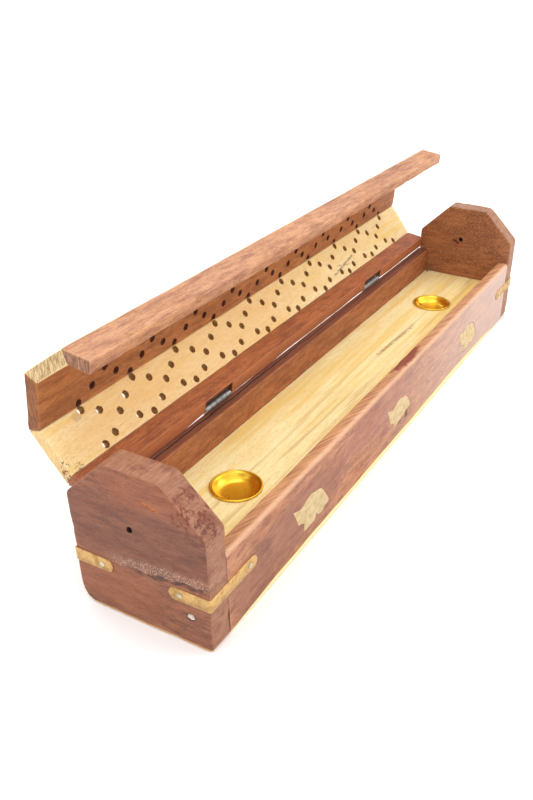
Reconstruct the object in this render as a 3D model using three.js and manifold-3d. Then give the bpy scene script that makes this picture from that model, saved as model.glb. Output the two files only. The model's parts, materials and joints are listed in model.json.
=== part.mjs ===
// Incense burner box: a long half-octagon wooden box with a raised shelf, two brass cups, a drilled
// lid on two small butt hinges, and a thin panel that slides out from under the shelf.
// Millimetres. X runs along the box, the inlaid front faces -Y, Z is up, and the box stands on Z = 0.
import * as THREE from "three";
import { mergeVertices } from "three/addons/utils/BufferGeometryUtils.js";
import Module from "manifold-3d";

const wasm = await Module();
wasm.setup();

// Box body
const LENGTH = 305;
const END_THICKNESS = 10;
const HALF_WIDTH = 26.5;
const SHOULDER_Z = 44.9;
const TOP_Z = 60.4;
const TOP_HALF_WIDTH = 10.6;
const SHOULDER_ROUND = 2.5;
const TOP_ROUND = 4;
const FRONT_FOOT_ROUND = 1.5;
const LEFT_BACK_FOOT_ROUND = 7;
const RIGHT_BACK_FOOT_ROUND = 5;
const INNER_HALF = LENGTH / 2 - END_THICKNESS;
const SIDE_TOP_Z = 33.7;
const FRONT_THICKNESS = 5.3;
const BACK_THICKNESS = 5;
const FRONT_INNER_Y = -HALF_WIDTH + FRONT_THICKNESS;
const BACK_INNER_Y = HALF_WIDTH - BACK_THICKNESS;
const INCENSE_HOLE_Y = 2.2;
const INCENSE_HOLE_RADIUS = 0.9;
const LEFT_INCENSE_HOLE_Z = 38.8;
const RIGHT_INCENSE_HOLE_Z = 42.7;

// Shelf and cups
const SHELF_TOP_Z = 21.2;
const SHELF_THICKNESS = 3.2;
const CUP_X = 97;
const CUP_RIM_RADIUS = 10;
const CUP_MOUTH_RADIUS = 8.5;
const CUP_FLOOR_RADIUS = 6.6;
const CUP_RIM_HEIGHT = 0.8;
const CUP_WALL = 0.5;
const CUP_FLOOR_Z = SHELF_TOP_Z - SHELF_THICKNESS + 0.3;
const CUP_HOLE_RADIUS = 9.2;

// Sliding storage panel
const PANEL_THICKNESS = 2;
const PANEL_BOTTOM_Z = 1.8;
const GROOVE_DEPTH = 2;
const PANEL_CLEARANCE = 0.2;
const THUMB_NICK = { x: LENGTH / 2 - 6, radius: 7, depth: 0.9, width: 18 };

// Brass corner straps, their pins and the inlays
const STRAP_THICKNESS = 0.5;
const STRAP_HEIGHT = 5;
const STRAP_MID_Z = 20;
const STRAP_TIP_ROUND = 1.6;
const STRAP_SIDE_ARM = 26.5;
const STRAP_END_ARM = 15.4;
const STRAP_PIN_FROM_TIP = 4.2;
const PIN_HEAD_RADIUS = 1;
const PIN_HEAD_HEIGHT = 0.5;
const PIN_SHANK_RADIUS = 0.4;
const PIN_HOLE_RADIUS = 0.55;
const PIN_LENGTH = 4.4;
const INLAY_WIDTH = 27.5;
const INLAY_HEIGHT = 14;
const INLAY_THICKNESS = 0.8;
const INLAY_RECESS_SCALE = 1.02;
const INLAY_CENTRES = { left_inlay: [-87.5, 14.6], middle_inlay: [-6.5, 14], right_inlay: [82, 14.2] };

// Lid, drawn closed and then swung open about the hinge axis
const LID_HALF_LENGTH = INNER_HALF - 0.5;
const LID_THICKNESS = 4.8;
const LID_BOTTOM_Z = 34;
const LID_HALF_WIDTH = 26.3;
const LID_SHOULDER_Z = 45.1;
const LID_TOP_HALF_WIDTH = 11.2;
const LID_TOP_Z = 60.8;
const LID_JOINT_GAP = 0.25;
const SMOKE_HOLE_RADIUS = 1.3;
const SMOKE_HOLE_PITCH = 27.2;
const SMOKE_HOLES_CENTRE_X = -1.2;
const SMOKE_CROSS_HALF = 6.5;
const SMOKE_PATTERNS = 9;
const SLOPE_HOLE_SPAN = 7.2;
const BACK_SLOPE_LOW_ROW = 5.2;
const TOP_HOLE_SPAN = 8;
const REST_OPEN_DEGREES = 82;

// Hinges
const HINGE_AXIS_Y = 27;
const HINGE_AXIS_Z = 35.1;
const HINGE_CENTRES = { left_hinge: -68, right_hinge: 75 };
const KNUCKLE_RADIUS = 1.3;
const KNUCKLE_BORE = 0.7;
const HINGE_PIN_RADIUS = 0.62;
const KNUCKLE_COUNT = 5;
const KNUCKLE_LENGTH = 3.5;
const KNUCKLE_GAP = 0.2;
const LEAF_THICKNESS = 0.6;
const LEAF_HEIGHT = 7;
const LEAF_LID_STANDOFF = 0.3;
const HINGE_LENGTH = KNUCKLE_COUNT * KNUCKLE_LENGTH;

const ROUND_SEGMENTS = 16;
const SMALL_SEGMENTS = 8;

function material(color, roughness, metalness) {
  return new THREE.MeshStandardMaterial({ color, roughness, metalness });
}

const ROSEWOOD = material(0x9a6450, 0.62, 0);
const REDDISH_WOOD = material(0xa9683f, 0.6, 0);
const PALE_WOOD = material(0xf3cf8b, 0.66, 0);
const SHEET_BRASS = material(0xd7aa5f, 0.38, 1);
const CUP_BRASS = material(0xe9a51a, 0.2, 1);
const STEEL = material(0x9a9a98, 0.35, 1);
const DARK_STEEL = material(0x3a3430, 0.5, 1);
const FILLER = material(0xe4d6cc, 0.8, 0);

// Geometry helpers

function solid(geometry) {
  const bare = geometry.clone();
  bare.deleteAttribute("normal");
  bare.deleteAttribute("uv");
  const merged = mergeVertices(bare, 1e-4);
  return new wasm.Manifold(
    new wasm.Mesh({
      numProp: 3,
      vertProperties: merged.attributes.position.array,
      triVerts: new Uint32Array(merged.index.array),
    }),
  );
}

function geometryOf(body) {
  const mesh = body.getMesh();
  const geometry = new THREE.BufferGeometry();
  geometry.setAttribute("position", new THREE.BufferAttribute(new Float32Array(mesh.vertProperties), 3));
  geometry.setIndex(new THREE.BufferAttribute(new Uint32Array(mesh.triVerts), 1));
  geometry.computeVertexNormals();
  return geometry;
}

function block(x0, x1, y0, y1, z0, z1) {
  const geometry = new THREE.BoxGeometry(x1 - x0, y1 - y0, z1 - z0);
  geometry.translate((x0 + x1) / 2, (y0 + y1) / 2, (z0 + z1) / 2);
  return solid(geometry);
}

const AXES = {
  x: new THREE.Vector3(1, 0, 0),
  y: new THREE.Vector3(0, 1, 0),
  z: new THREE.Vector3(0, 0, 1),
};

// A shape swept from start to end along an axis: drawn in (y, z) for x, in (x, z) for y, in (x, y) for z.
function prism(shape, axis, start, end) {
  const geometry = new THREE.ExtrudeGeometry(shape, {
    depth: end - start,
    bevelEnabled: false,
    curveSegments: 3,
  });
  const turn = new THREE.Matrix4();
  const shift = new THREE.Vector3();
  if (axis === "x") {
    turn.makeBasis(AXES.y, AXES.z, AXES.x);
    shift.set(start, 0, 0);
  } else if (axis === "y") {
    turn.makeBasis(AXES.x, AXES.z, AXES.y.clone().negate());
    shift.set(0, end, 0);
  } else {
    shift.set(0, 0, start);
  }
  geometry.applyMatrix4(turn).translate(shift.x, shift.y, shift.z);
  return solid(geometry);
}

// A round bar from one point to another.
function rod(from, to, radius, segments) {
  const start = new THREE.Vector3(...from);
  const along = new THREE.Vector3(...to).sub(start);
  const geometry = new THREE.CylinderGeometry(radius, radius, along.length(), segments);
  const turn = new THREE.Quaternion().setFromUnitVectors(AXES.y, along.clone().normalize());
  const middle = start.addScaledVector(along, 0.5);
  geometry.applyQuaternion(turn).translate(middle.x, middle.y, middle.z);
  return solid(geometry);
}

// An outline through the corners [a, b, radius], each rounded by a tangent curve.
function roundedShape(corners) {
  const shape = new THREE.Shape();
  corners.forEach(([a, b, radius], i) => {
    const corner = new THREE.Vector2(a, b);
    const before = new THREE.Vector2(...corners.at(i - 1));
    const after = new THREE.Vector2(...corners[(i + 1) % corners.length]);
    const entry = before.sub(corner).setLength(radius).add(corner);
    const exit = after.sub(corner).setLength(radius).add(corner);
    if (i === 0) shape.moveTo(entry.x, entry.y);
    else shape.lineTo(entry.x, entry.y);
    if (radius > 0) shape.quadraticCurveTo(corner.x, corner.y, exit.x, exit.y);
  });
  shape.closePath();
  return shape;
}

function polygon(points) {
  return new THREE.Shape(points.map(([a, b]) => new THREE.Vector2(a, b)));
}

function place(group, name, body, look) {
  const mesh = new THREE.Mesh(body.isBufferGeometry ? body : geometryOf(body), look);
  mesh.name = name;
  group.add(mesh);
  return mesh;
}

// Box body

function endBoardShape(backFootRound) {
  return roundedShape([
    [-HALF_WIDTH, 0, FRONT_FOOT_ROUND],
    [HALF_WIDTH, 0, backFootRound],
    [HALF_WIDTH, SHOULDER_Z, SHOULDER_ROUND],
    [TOP_HALF_WIDTH, TOP_Z, TOP_ROUND],
    [-TOP_HALF_WIDTH, TOP_Z, TOP_ROUND],
    [-HALF_WIDTH, SHOULDER_Z, SHOULDER_ROUND],
  ]);
}

function incenseHole(z) {
  const from = [-LENGTH, INCENSE_HOLE_Y, z];
  const to = [LENGTH, INCENSE_HOLE_Y, z];
  return rod(from, to, INCENSE_HOLE_RADIUS, SMALL_SEGMENTS);
}

const GROOVE_FRONT_Y = FRONT_INNER_Y - GROOVE_DEPTH;
const GROOVE_BACK_Y = BACK_INNER_Y + GROOVE_DEPTH;
const GROOVE_BOTTOM_Z = PANEL_BOTTOM_Z - PANEL_CLEARANCE;
const GROOVE_TOP_Z = PANEL_BOTTOM_Z + PANEL_THICKNESS + PANEL_CLEARANCE;

// The room the panel runs in: grooves in the long boards and a notch under the right end board.
function panelRun() {
  const run = block(-LENGTH, LENGTH, GROOVE_FRONT_Y, GROOVE_BACK_Y, GROOVE_BOTTOM_Z, GROOVE_TOP_Z);
  return run.subtract(block(-LENGTH, -INNER_HALF, -LENGTH, LENGTH, 0, TOP_Z));
}

function panelExit() {
  return block(0, LENGTH, GROOVE_FRONT_Y, GROOVE_BACK_Y, -TOP_Z, GROOVE_TOP_Z);
}

function leftEndBoard(pinHoles, plugHole) {
  const board = prism(endBoardShape(LEFT_BACK_FOOT_ROUND), "x", -LENGTH / 2, -INNER_HALF);
  return board.subtract(incenseHole(LEFT_INCENSE_HOLE_Z)).subtract(pinHoles).subtract(plugHole);
}

function rightEndBoard(pinHoles) {
  const board = prism(endBoardShape(RIGHT_BACK_FOOT_ROUND), "x", INNER_HALF, LENGTH / 2);
  return board.subtract(incenseHole(RIGHT_INCENSE_HOLE_Z)).subtract(panelExit()).subtract(pinHoles);
}

function frontBoard(pinHoles) {
  let board = block(-INNER_HALF, INNER_HALF, -HALF_WIDTH, FRONT_INNER_Y, 0, SIDE_TOP_Z);
  board = board.subtract(panelRun()).subtract(pinHoles);
  for (const [x, z] of Object.values(INLAY_CENTRES)) {
    const recess = elephantShape(x, z, INLAY_RECESS_SCALE);
    board = board.subtract(prism(recess, "y", -HALF_WIDTH - 1, -HALF_WIDTH + INLAY_THICKNESS));
  }
  return board;
}

function backBoard(pinHoles) {
  const outline = roundedShape([
    [BACK_INNER_Y, 0, 0],
    [HALF_WIDTH, 0, RIGHT_BACK_FOOT_ROUND - 1],
    [HALF_WIDTH, SIDE_TOP_Z, 0],
    [BACK_INNER_Y, SIDE_TOP_Z, 0],
  ]);
  return prism(outline, "x", -INNER_HALF, INNER_HALF).subtract(panelRun()).subtract(pinHoles);
}

// Shelf, cups and storage panel

const SHELF_NAIL = {
  x: INNER_HALF - 1.7,
  y: BACK_INNER_Y - 1.4,
  headRadius: 0.8,
  headHeight: 0.3,
  shank: 0.4,
  hole: 0.55,
  length: 2.6,
};

function incenseShelf() {
  const underside = SHELF_TOP_Z - SHELF_THICKNESS;
  let shelf = block(-INNER_HALF, INNER_HALF, FRONT_INNER_Y, BACK_INNER_Y, underside, SHELF_TOP_Z);
  for (const x of [-CUP_X, CUP_X]) {
    shelf = shelf.subtract(rod([x, 0, 0], [x, 0, TOP_Z], CUP_HOLE_RADIUS, 2 * ROUND_SEGMENTS));
  }
  const { x, y, hole } = SHELF_NAIL;
  return shelf.subtract(rod([x, y, 0], [x, y, TOP_Z], hole, SMALL_SEGMENTS));
}

// A shallow spun bowl with a flat flange that rests on the shelf.
function cup(x) {
  const flangeTop = SHELF_TOP_Z + CUP_RIM_HEIGHT;
  const outline = [
    [0, CUP_FLOOR_Z],
    [CUP_FLOOR_RADIUS, CUP_FLOOR_Z],
    [CUP_MOUTH_RADIUS, CUP_FLOOR_Z + 1.2],
    [CUP_MOUTH_RADIUS + CUP_WALL, SHELF_TOP_Z],
    [CUP_RIM_RADIUS, SHELF_TOP_Z],
    [CUP_RIM_RADIUS, flangeTop - 0.3],
    [CUP_RIM_RADIUS - 0.4, flangeTop],
    [CUP_MOUTH_RADIUS + 0.3, flangeTop - 0.1],
    [CUP_MOUTH_RADIUS - 0.2, SHELF_TOP_Z - 0.3],
    [CUP_MOUTH_RADIUS - CUP_WALL, CUP_FLOOR_Z + 1.5],
    [CUP_FLOOR_RADIUS - 0.2, CUP_FLOOR_Z + CUP_WALL],
    [0, CUP_FLOOR_Z + CUP_WALL],
  ];
  const points = outline.map(([radius, z]) => new THREE.Vector2(radius, z));
  const geometry = new THREE.LatheGeometry(points, 2 * ROUND_SEGMENTS);
  geometry.rotateX(Math.PI / 2).translate(x, 0, 0);
  return solid(geometry);
}

function storagePanel() {
  const inset = PANEL_CLEARANCE;
  const panel = block(
    -INNER_HALF + inset,
    LENGTH / 2 - inset,
    GROOVE_FRONT_Y + inset,
    GROOVE_BACK_Y - inset,
    PANEL_BOTTOM_Z,
    PANEL_BOTTOM_Z + PANEL_THICKNESS,
  );
  const { x, radius, depth, width } = THUMB_NICK;
  const nickZ = PANEL_BOTTOM_Z + depth - radius;
  return panel.subtract(rod([x, -width / 2, nickZ], [x, width / 2, nickZ], radius, 2 * ROUND_SEGMENTS));
}

// Pins and nails: a domed head standing on a thin shank that points into the wood.
function nail(at, into, headRadius, headHeight, shankRadius, length) {
  const outline = [
    [0, -length],
    [shankRadius, -length + 2 * shankRadius],
    [shankRadius, 0],
    [headRadius, 0],
    [headRadius * 0.75, headHeight * 0.7],
    [0, headHeight],
  ];
  const points = outline.map(([radius, height]) => new THREE.Vector2(radius, height));
  const geometry = new THREE.LatheGeometry(points, SMALL_SEGMENTS + 2);
  const out = new THREE.Vector3(...into).negate();
  geometry.applyQuaternion(new THREE.Quaternion().setFromUnitVectors(AXES.y, out));
  geometry.translate(...at);
  return solid(geometry);
}

function nailHole(at, into, radius, length) {
  const start = new THREE.Vector3(...at).addScaledVector(new THREE.Vector3(...into), -1);
  const end = new THREE.Vector3(...at).addScaledVector(new THREE.Vector3(...into), length);
  return rod(start.toArray(), end.toArray(), radius, SMALL_SEGMENTS);
}

// Corner straps

const CORNERS = {
  front_left: [-1, -1],
  front_right: [1, -1],
  back_left: [-1, 1],
  back_right: [1, 1],
};

function strapPins([sideX, sideY]) {
  const armX = sideX * (LENGTH / 2 - STRAP_SIDE_ARM + STRAP_PIN_FROM_TIP);
  const armY = sideY * (HALF_WIDTH - STRAP_END_ARM + STRAP_PIN_FROM_TIP);
  const outX = sideX * (LENGTH / 2 + STRAP_THICKNESS);
  const outY = sideY * (HALF_WIDTH + STRAP_THICKNESS);
  return {
    side_pin: { at: [armX, outY, STRAP_MID_Z], into: [0, -sideY, 0] },
    end_pin: { at: [outX, armY, STRAP_MID_Z], into: [-sideX, 0, 0] },
  };
}

// One arm's outline: square at the corner, rounded at the tip.
function armShape(corner, tip) {
  const low = STRAP_MID_Z - STRAP_HEIGHT / 2;
  const high = STRAP_MID_Z + STRAP_HEIGHT / 2;
  return roundedShape([
    [corner, low, 0],
    [tip, low, STRAP_TIP_ROUND],
    [tip, high, STRAP_TIP_ROUND],
    [corner, high, 0],
  ]);
}

function cornerStrap([sideX, sideY], pinHoles) {
  const outX = sideX * (LENGTH / 2 + STRAP_THICKNESS);
  const outY = sideY * (HALF_WIDTH + STRAP_THICKNESS);
  const faceX = sideX * (LENGTH / 2);
  const faceY = sideY * HALF_WIDTH;
  const sideArm = armShape(outX, sideX * (LENGTH / 2 - STRAP_SIDE_ARM));
  const endArm = armShape(outY, sideY * (HALF_WIDTH - STRAP_END_ARM));
  const along = prism(sideArm, "y", Math.min(outY, faceY), Math.max(outY, faceY));
  const across = prism(endArm, "x", Math.min(outX, faceX), Math.max(outX, faceX));
  return along.add(across).subtract(pinHoles);
}

// Brass inlay: a plain walking elephant, trunk raised to the left.
function elephantShape(centreX, centreZ, scale) {
  const at = (u, v) => [centreX + u * INLAY_WIDTH * scale, centreZ + v * INLAY_HEIGHT * scale];
  const shape = new THREE.Shape();
  shape.moveTo(...at(-0.5, 0.5));
  shape.quadraticCurveTo(...at(-0.38, 0.4), ...at(-0.3, 0.36));
  shape.quadraticCurveTo(...at(-0.2, 0.36), ...at(-0.14, 0.46));
  shape.quadraticCurveTo(...at(0, 0.54), ...at(0.08, 0.44));
  shape.quadraticCurveTo(...at(0.24, 0.42), ...at(0.3, 0.27));
  shape.quadraticCurveTo(...at(0.4, 0.02), ...at(0.5, -0.29));
  shape.lineTo(...at(0.46, -0.38));
  shape.lineTo(...at(0.37, -0.36));
  shape.lineTo(...at(0.31, -0.48));
  shape.lineTo(...at(0.21, -0.46));
  shape.lineTo(...at(0.13, -0.3));
  shape.lineTo(...at(0.09, -0.5));
  shape.lineTo(...at(-0.16, -0.5));
  shape.lineTo(...at(-0.22, -0.4));
  shape.lineTo(...at(-0.21, -0.22));
  shape.quadraticCurveTo(...at(-0.27, -0.12), ...at(-0.36, -0.1));
  shape.quadraticCurveTo(...at(-0.38, 0.06), ...at(-0.5, 0.5));
  return shape;
}

// Hinges, drawn with the lid closed. Base knuckles are even, lid knuckles odd.

function knuckleSpan(centreX, index) {
  const start = centreX - HINGE_LENGTH / 2 + index * KNUCKLE_LENGTH;
  return [start + KNUCKLE_GAP / 2, start + KNUCKLE_LENGTH - KNUCKLE_GAP / 2];
}

function barrelRod(from, to, radius) {
  return rod([from, HINGE_AXIS_Y, HINGE_AXIS_Z], [to, HINGE_AXIS_Y, HINGE_AXIS_Z], radius, ROUND_SEGMENTS);
}

function hingeLeaf(centreX, plate, parity, nailHoles) {
  let leaf = plate;
  for (let i = 0; i < KNUCKLE_COUNT; i += 1) {
    const [from, to] = knuckleSpan(centreX, i);
    if (i % 2 === parity) {
      leaf = leaf.add(barrelRod(from, to, KNUCKLE_RADIUS));
    } else {
      leaf = leaf.subtract(barrelRod(from - KNUCKLE_GAP, to + KNUCKLE_GAP, KNUCKLE_RADIUS + KNUCKLE_GAP));
    }
  }
  const bore = barrelRod(centreX - HINGE_LENGTH, centreX + HINGE_LENGTH, KNUCKLE_BORE);
  return leaf.subtract(bore).subtract(nailHoles);
}

function leafNails(centreX, faceY, z) {
  const spread = HINGE_LENGTH / 2 - 3;
  return [-spread, spread].map((dx) => ({ at: [centreX + dx, faceY, z], into: [0, -1, 0] }));
}

function holesFor(nails, length) {
  return nails
    .map(({ at, into }) => nailHole(at, into, PIN_HOLE_RADIUS, length))
    .reduce((all, hole) => all.add(hole));
}

const BASE_LEAF_OUT_Y = HALF_WIDTH + LEAF_THICKNESS;
const LID_LEAF_IN_Y = LID_HALF_WIDTH + LEAF_LID_STANDOFF;
const LID_LEAF_OUT_Y = LID_LEAF_IN_Y + LEAF_THICKNESS;
const BARREL_NOTCH = { ends: 1, depth: 1.7, above: 1.6 };
const LEAF_NAIL_REACH = 5;
const LEAF_NAIL_LENGTH = 4;
const LEAF_NAIL_HOLE_DEPTH = 2;
const LEAF_NEAR_EDGE = 0.9;
const LEAF_FAR_EDGE = LEAF_HEIGHT + 1;
const PIN_SHORTFALL = 0.1;

function addHinge(name, centreX, base, lid) {
  const left = centreX - HINGE_LENGTH / 2;
  const right = centreX + HINGE_LENGTH / 2;
  const baseNails = leafNails(centreX, BASE_LEAF_OUT_Y, HINGE_AXIS_Z - LEAF_NAIL_REACH);
  const lidNails = leafNails(centreX, LID_LEAF_OUT_Y, HINGE_AXIS_Z + LEAF_NAIL_REACH);
  const baseHoles = holesFor(baseNails, LEAF_NAIL_HOLE_DEPTH);
  const lidHoles = holesFor(lidNails, LEAF_NAIL_HOLE_DEPTH);
  const baseTop = HINGE_AXIS_Z - LEAF_NEAR_EDGE;
  const lidFoot = HINGE_AXIS_Z + LEAF_NEAR_EDGE;
  const basePlate = block(left, right, HALF_WIDTH, BASE_LEAF_OUT_Y, HINGE_AXIS_Z - LEAF_FAR_EDGE, baseTop);
  const lidPlate = block(left, right, LID_LEAF_IN_Y, LID_LEAF_OUT_Y, lidFoot, HINGE_AXIS_Z + LEAF_FAR_EDGE);
  place(base, `${name}_base_leaf`, hingeLeaf(centreX, basePlate, 0, baseHoles), STEEL);
  place(lid, `${name}_lid_leaf`, hingeLeaf(centreX, lidPlate, 1, lidHoles), STEEL);
  const pin = barrelRod(left + PIN_SHORTFALL, right - PIN_SHORTFALL, HINGE_PIN_RADIUS);
  place(base, `${name}_pin`, pin, DARK_STEEL);
  for (const [group, part, nails] of [[base, "base", baseNails], [lid, "lid", lidNails]]) {
    nails.forEach(({ at, into }, i) => {
      const body = nail(at, into, PIN_HEAD_RADIUS, PIN_HEAD_HEIGHT, PIN_SHANK_RADIUS, LEAF_NAIL_LENGTH);
      place(group, `${name}_${part}_nail_${i + 1}`, body, DARK_STEEL);
    });
  }
  return { baseNails, lidNails };
}

// Lid boards: five mitred boards around the half octagon, seen from the end in (y, z).

const LID_OUTLINE = [
  [LID_HALF_WIDTH, LID_BOTTOM_Z],
  [LID_HALF_WIDTH, LID_SHOULDER_Z],
  [LID_TOP_HALF_WIDTH, LID_TOP_Z],
  [-LID_TOP_HALF_WIDTH, LID_TOP_Z],
  [-LID_HALF_WIDTH, LID_SHOULDER_Z],
  [-LID_HALF_WIDTH, LID_BOTTOM_Z],
].map(([y, z]) => new THREE.Vector2(y, z));

function edgeAngle(i) {
  return LID_OUTLINE[i + 1].clone().sub(LID_OUTLINE[i]).angle();
}

// How far the mitre at corner i carries the inner face in from the outer one; a free edge is square.
function mitreInset(i) {
  if (i === 0 || i === LID_OUTLINE.length - 1) return 0;
  return LID_THICKNESS * Math.tan((edgeAngle(i) - edgeAngle(i - 1)) / 2);
}

function mitreSlit(i) {
  return i === 0 || i === LID_OUTLINE.length - 1 ? 0 : LID_JOINT_GAP / 2;
}

// Board i, cut lying flat with its outer face down, then stood on edge i of the outline.
function lidBoard(i, holePlaces = []) {
  const start = LID_OUTLINE[i];
  const width = start.distanceTo(LID_OUTLINE[i + 1]);
  const near = mitreSlit(i);
  const far = width - mitreSlit(i + 1);
  const outline = [
    [near, 0],
    [far, 0],
    [far - mitreInset(i + 1), LID_THICKNESS],
    [near + mitreInset(i), LID_THICKNESS],
  ];
  let board = prism(polygon(outline), "x", -LID_HALF_LENGTH, LID_HALF_LENGTH);
  for (const [x, offset] of holePlaces) {
    const y = width / 2 + offset;
    board = board.subtract(rod([x, y, -1], [x, y, LID_THICKNESS + 1], SMOKE_HOLE_RADIUS, SMALL_SEGMENTS));
  }
  return geometryOf(board).rotateX(edgeAngle(i)).translate(0, start.x, start.y);
}

// Smoke holes in touching X patterns, as [x, offset across the board from its middle].
function smokeHolePlaces(halfSpan, lowRow = halfSpan / 2) {
  const places = [];
  for (let k = 0; k < SMOKE_PATTERNS; k += 1) {
    const centre = SMOKE_HOLES_CENTRE_X + (k - (SMOKE_PATTERNS - 1) / 2) * SMOKE_HOLE_PITCH;
    places.push([centre, 0]);
    for (const x of [centre - SMOKE_CROSS_HALF, centre + SMOKE_CROSS_HALF]) {
      places.push([x, halfSpan / 2], [x, -lowRow]);
    }
  }
  for (let k = 0; k <= SMOKE_PATTERNS; k += 1) {
    const x = SMOKE_HOLES_CENTRE_X + (k - SMOKE_PATTERNS / 2) * SMOKE_HOLE_PITCH;
    places.push([x, halfSpan], [x, -halfSpan]);
  }
  return places;
}

// Assembly

const box = new THREE.Group();
const lid = new THREE.Group();
const HINGE_AXIS = new THREE.Vector3(0, HINGE_AXIS_Y, HINGE_AXIS_Z);
const closedLid = new THREE.Group();
closedLid.position.copy(HINGE_AXIS).negate();
lid.add(closedLid);
lid.position.copy(HINGE_AXIS);
lid.rotation.x = -THREE.MathUtils.degToRad(REST_OPEN_DEGREES);

const hingeNails = Object.entries(HINGE_CENTRES).map(([name, x]) => addHinge(name, x, box, closedLid));
const backBoardNailHoles = holesFor(hingeNails.flatMap((h) => h.baseNails), LEAF_NAIL_LENGTH + 0.3);
const railNailHoles = holesFor(hingeNails.flatMap((h) => h.lidNails), LEAF_NAIL_LENGTH + 0.3);

const pins = Object.fromEntries(Object.entries(CORNERS).map(([name, sides]) => [name, strapPins(sides)]));
const strapPinHoles = holesFor(Object.values(pins).flatMap(Object.values), PIN_LENGTH + 0.3);
for (const [corner, sides] of Object.entries(CORNERS)) {
  place(box, `${corner}_strap`, cornerStrap(sides, strapPinHoles), SHEET_BRASS);
  for (const [part, { at, into }] of Object.entries(pins[corner])) {
    const body = nail(at, into, PIN_HEAD_RADIUS, PIN_HEAD_HEIGHT, PIN_SHANK_RADIUS, PIN_LENGTH);
    place(box, `${corner}_${part}`, body, STEEL);
  }
}

const FILLER_PLUG = { y: -18.7, z: 12.2, radius: 1.2, depth: 2 };
const PLUG_FROM = [-LENGTH / 2, FILLER_PLUG.y, FILLER_PLUG.z];
const PLUG_TO = [-LENGTH / 2 + FILLER_PLUG.depth, FILLER_PLUG.y, FILLER_PLUG.z];
const plugHole = nailHole(PLUG_FROM, [1, 0, 0], FILLER_PLUG.radius + 0.15, FILLER_PLUG.depth + 0.2);
place(box, "left_filler_plug", rod(PLUG_FROM, PLUG_TO, FILLER_PLUG.radius, SMALL_SEGMENTS + 2), FILLER);

place(box, "left_end_board", leftEndBoard(strapPinHoles, plugHole), ROSEWOOD);
place(box, "right_end_board", rightEndBoard(strapPinHoles), ROSEWOOD);
place(box, "front_board", frontBoard(strapPinHoles), ROSEWOOD);
place(box, "back_board", backBoard(strapPinHoles.add(backBoardNailHoles)), REDDISH_WOOD);
place(box, "incense_shelf", incenseShelf(), PALE_WOOD);
place(box, "left_cup", cup(-CUP_X), CUP_BRASS);
place(box, "right_cup", cup(CUP_X), CUP_BRASS);
place(box, "storage_panel", storagePanel(), PALE_WOOD);

for (const [name, [x, z]] of Object.entries(INLAY_CENTRES)) {
  const body = prism(elephantShape(x, z, 1), "y", -HALF_WIDTH, -HALF_WIDTH + INLAY_THICKNESS);
  place(box, name, body, SHEET_BRASS);
}

const { x: nailX, y: nailY, headRadius, headHeight, shank, length: nailLength } = SHELF_NAIL;
const shelfNail = nail([nailX, nailY, SHELF_TOP_Z], [0, 0, -1], headRadius, headHeight, shank, nailLength);
place(box, "right_shelf_nail", shelfNail, DARK_STEEL);

// Room for a hinge barrel in the lower edge of the lid's back rail.
function barrelNotch(centreX) {
  const left = centreX - HINGE_LENGTH / 2 - BARREL_NOTCH.ends;
  const right = centreX + HINGE_LENGTH / 2 + BARREL_NOTCH.ends;
  const inner = HINGE_AXIS_Y - BARREL_NOTCH.depth;
  const top = HINGE_AXIS_Z + BARREL_NOTCH.above;
  return block(left, right, inner, HALF_WIDTH + BARREL_NOTCH.ends, LID_BOTTOM_Z - 1, top);
}

const notches = Object.values(HINGE_CENTRES)
  .map(barrelNotch)
  .reduce((all, notch) => all.add(notch));
const backRail = solid(lidBoard(0)).subtract(notches).subtract(railNailHoles);
place(closedLid, "lid_back_rail", backRail, REDDISH_WOOD);
const backSlopeHoles = smokeHolePlaces(SLOPE_HOLE_SPAN, BACK_SLOPE_LOW_ROW);
place(closedLid, "lid_back_slope", lidBoard(1, backSlopeHoles), PALE_WOOD);
place(closedLid, "lid_top_board", lidBoard(2, smokeHolePlaces(TOP_HOLE_SPAN)), REDDISH_WOOD);
place(closedLid, "lid_front_slope", lidBoard(3, smokeHolePlaces(SLOPE_HOLE_SPAN)), PALE_WOOD);
place(closedLid, "lid_front_rail", lidBoard(4), ROSEWOOD);

// The origin is the middle of the whole object's footprint, with the lid standing open.
const model = new THREE.Group();
model.add(box, lid);
const bounds = new THREE.Box3().setFromObject(model, true);
const middle = bounds.getCenter(new THREE.Vector3());
model.position.set(-middle.x, -middle.y, -bounds.min.z);

const group = new THREE.Group();
group.add(model);
export default group;
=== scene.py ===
"""The incense burner box: sawn and oiled boards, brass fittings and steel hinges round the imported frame."""
import json
import math
import random

import bmesh
import bpy
import numpy as np
from mathutils import Matrix, Vector, noise

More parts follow.
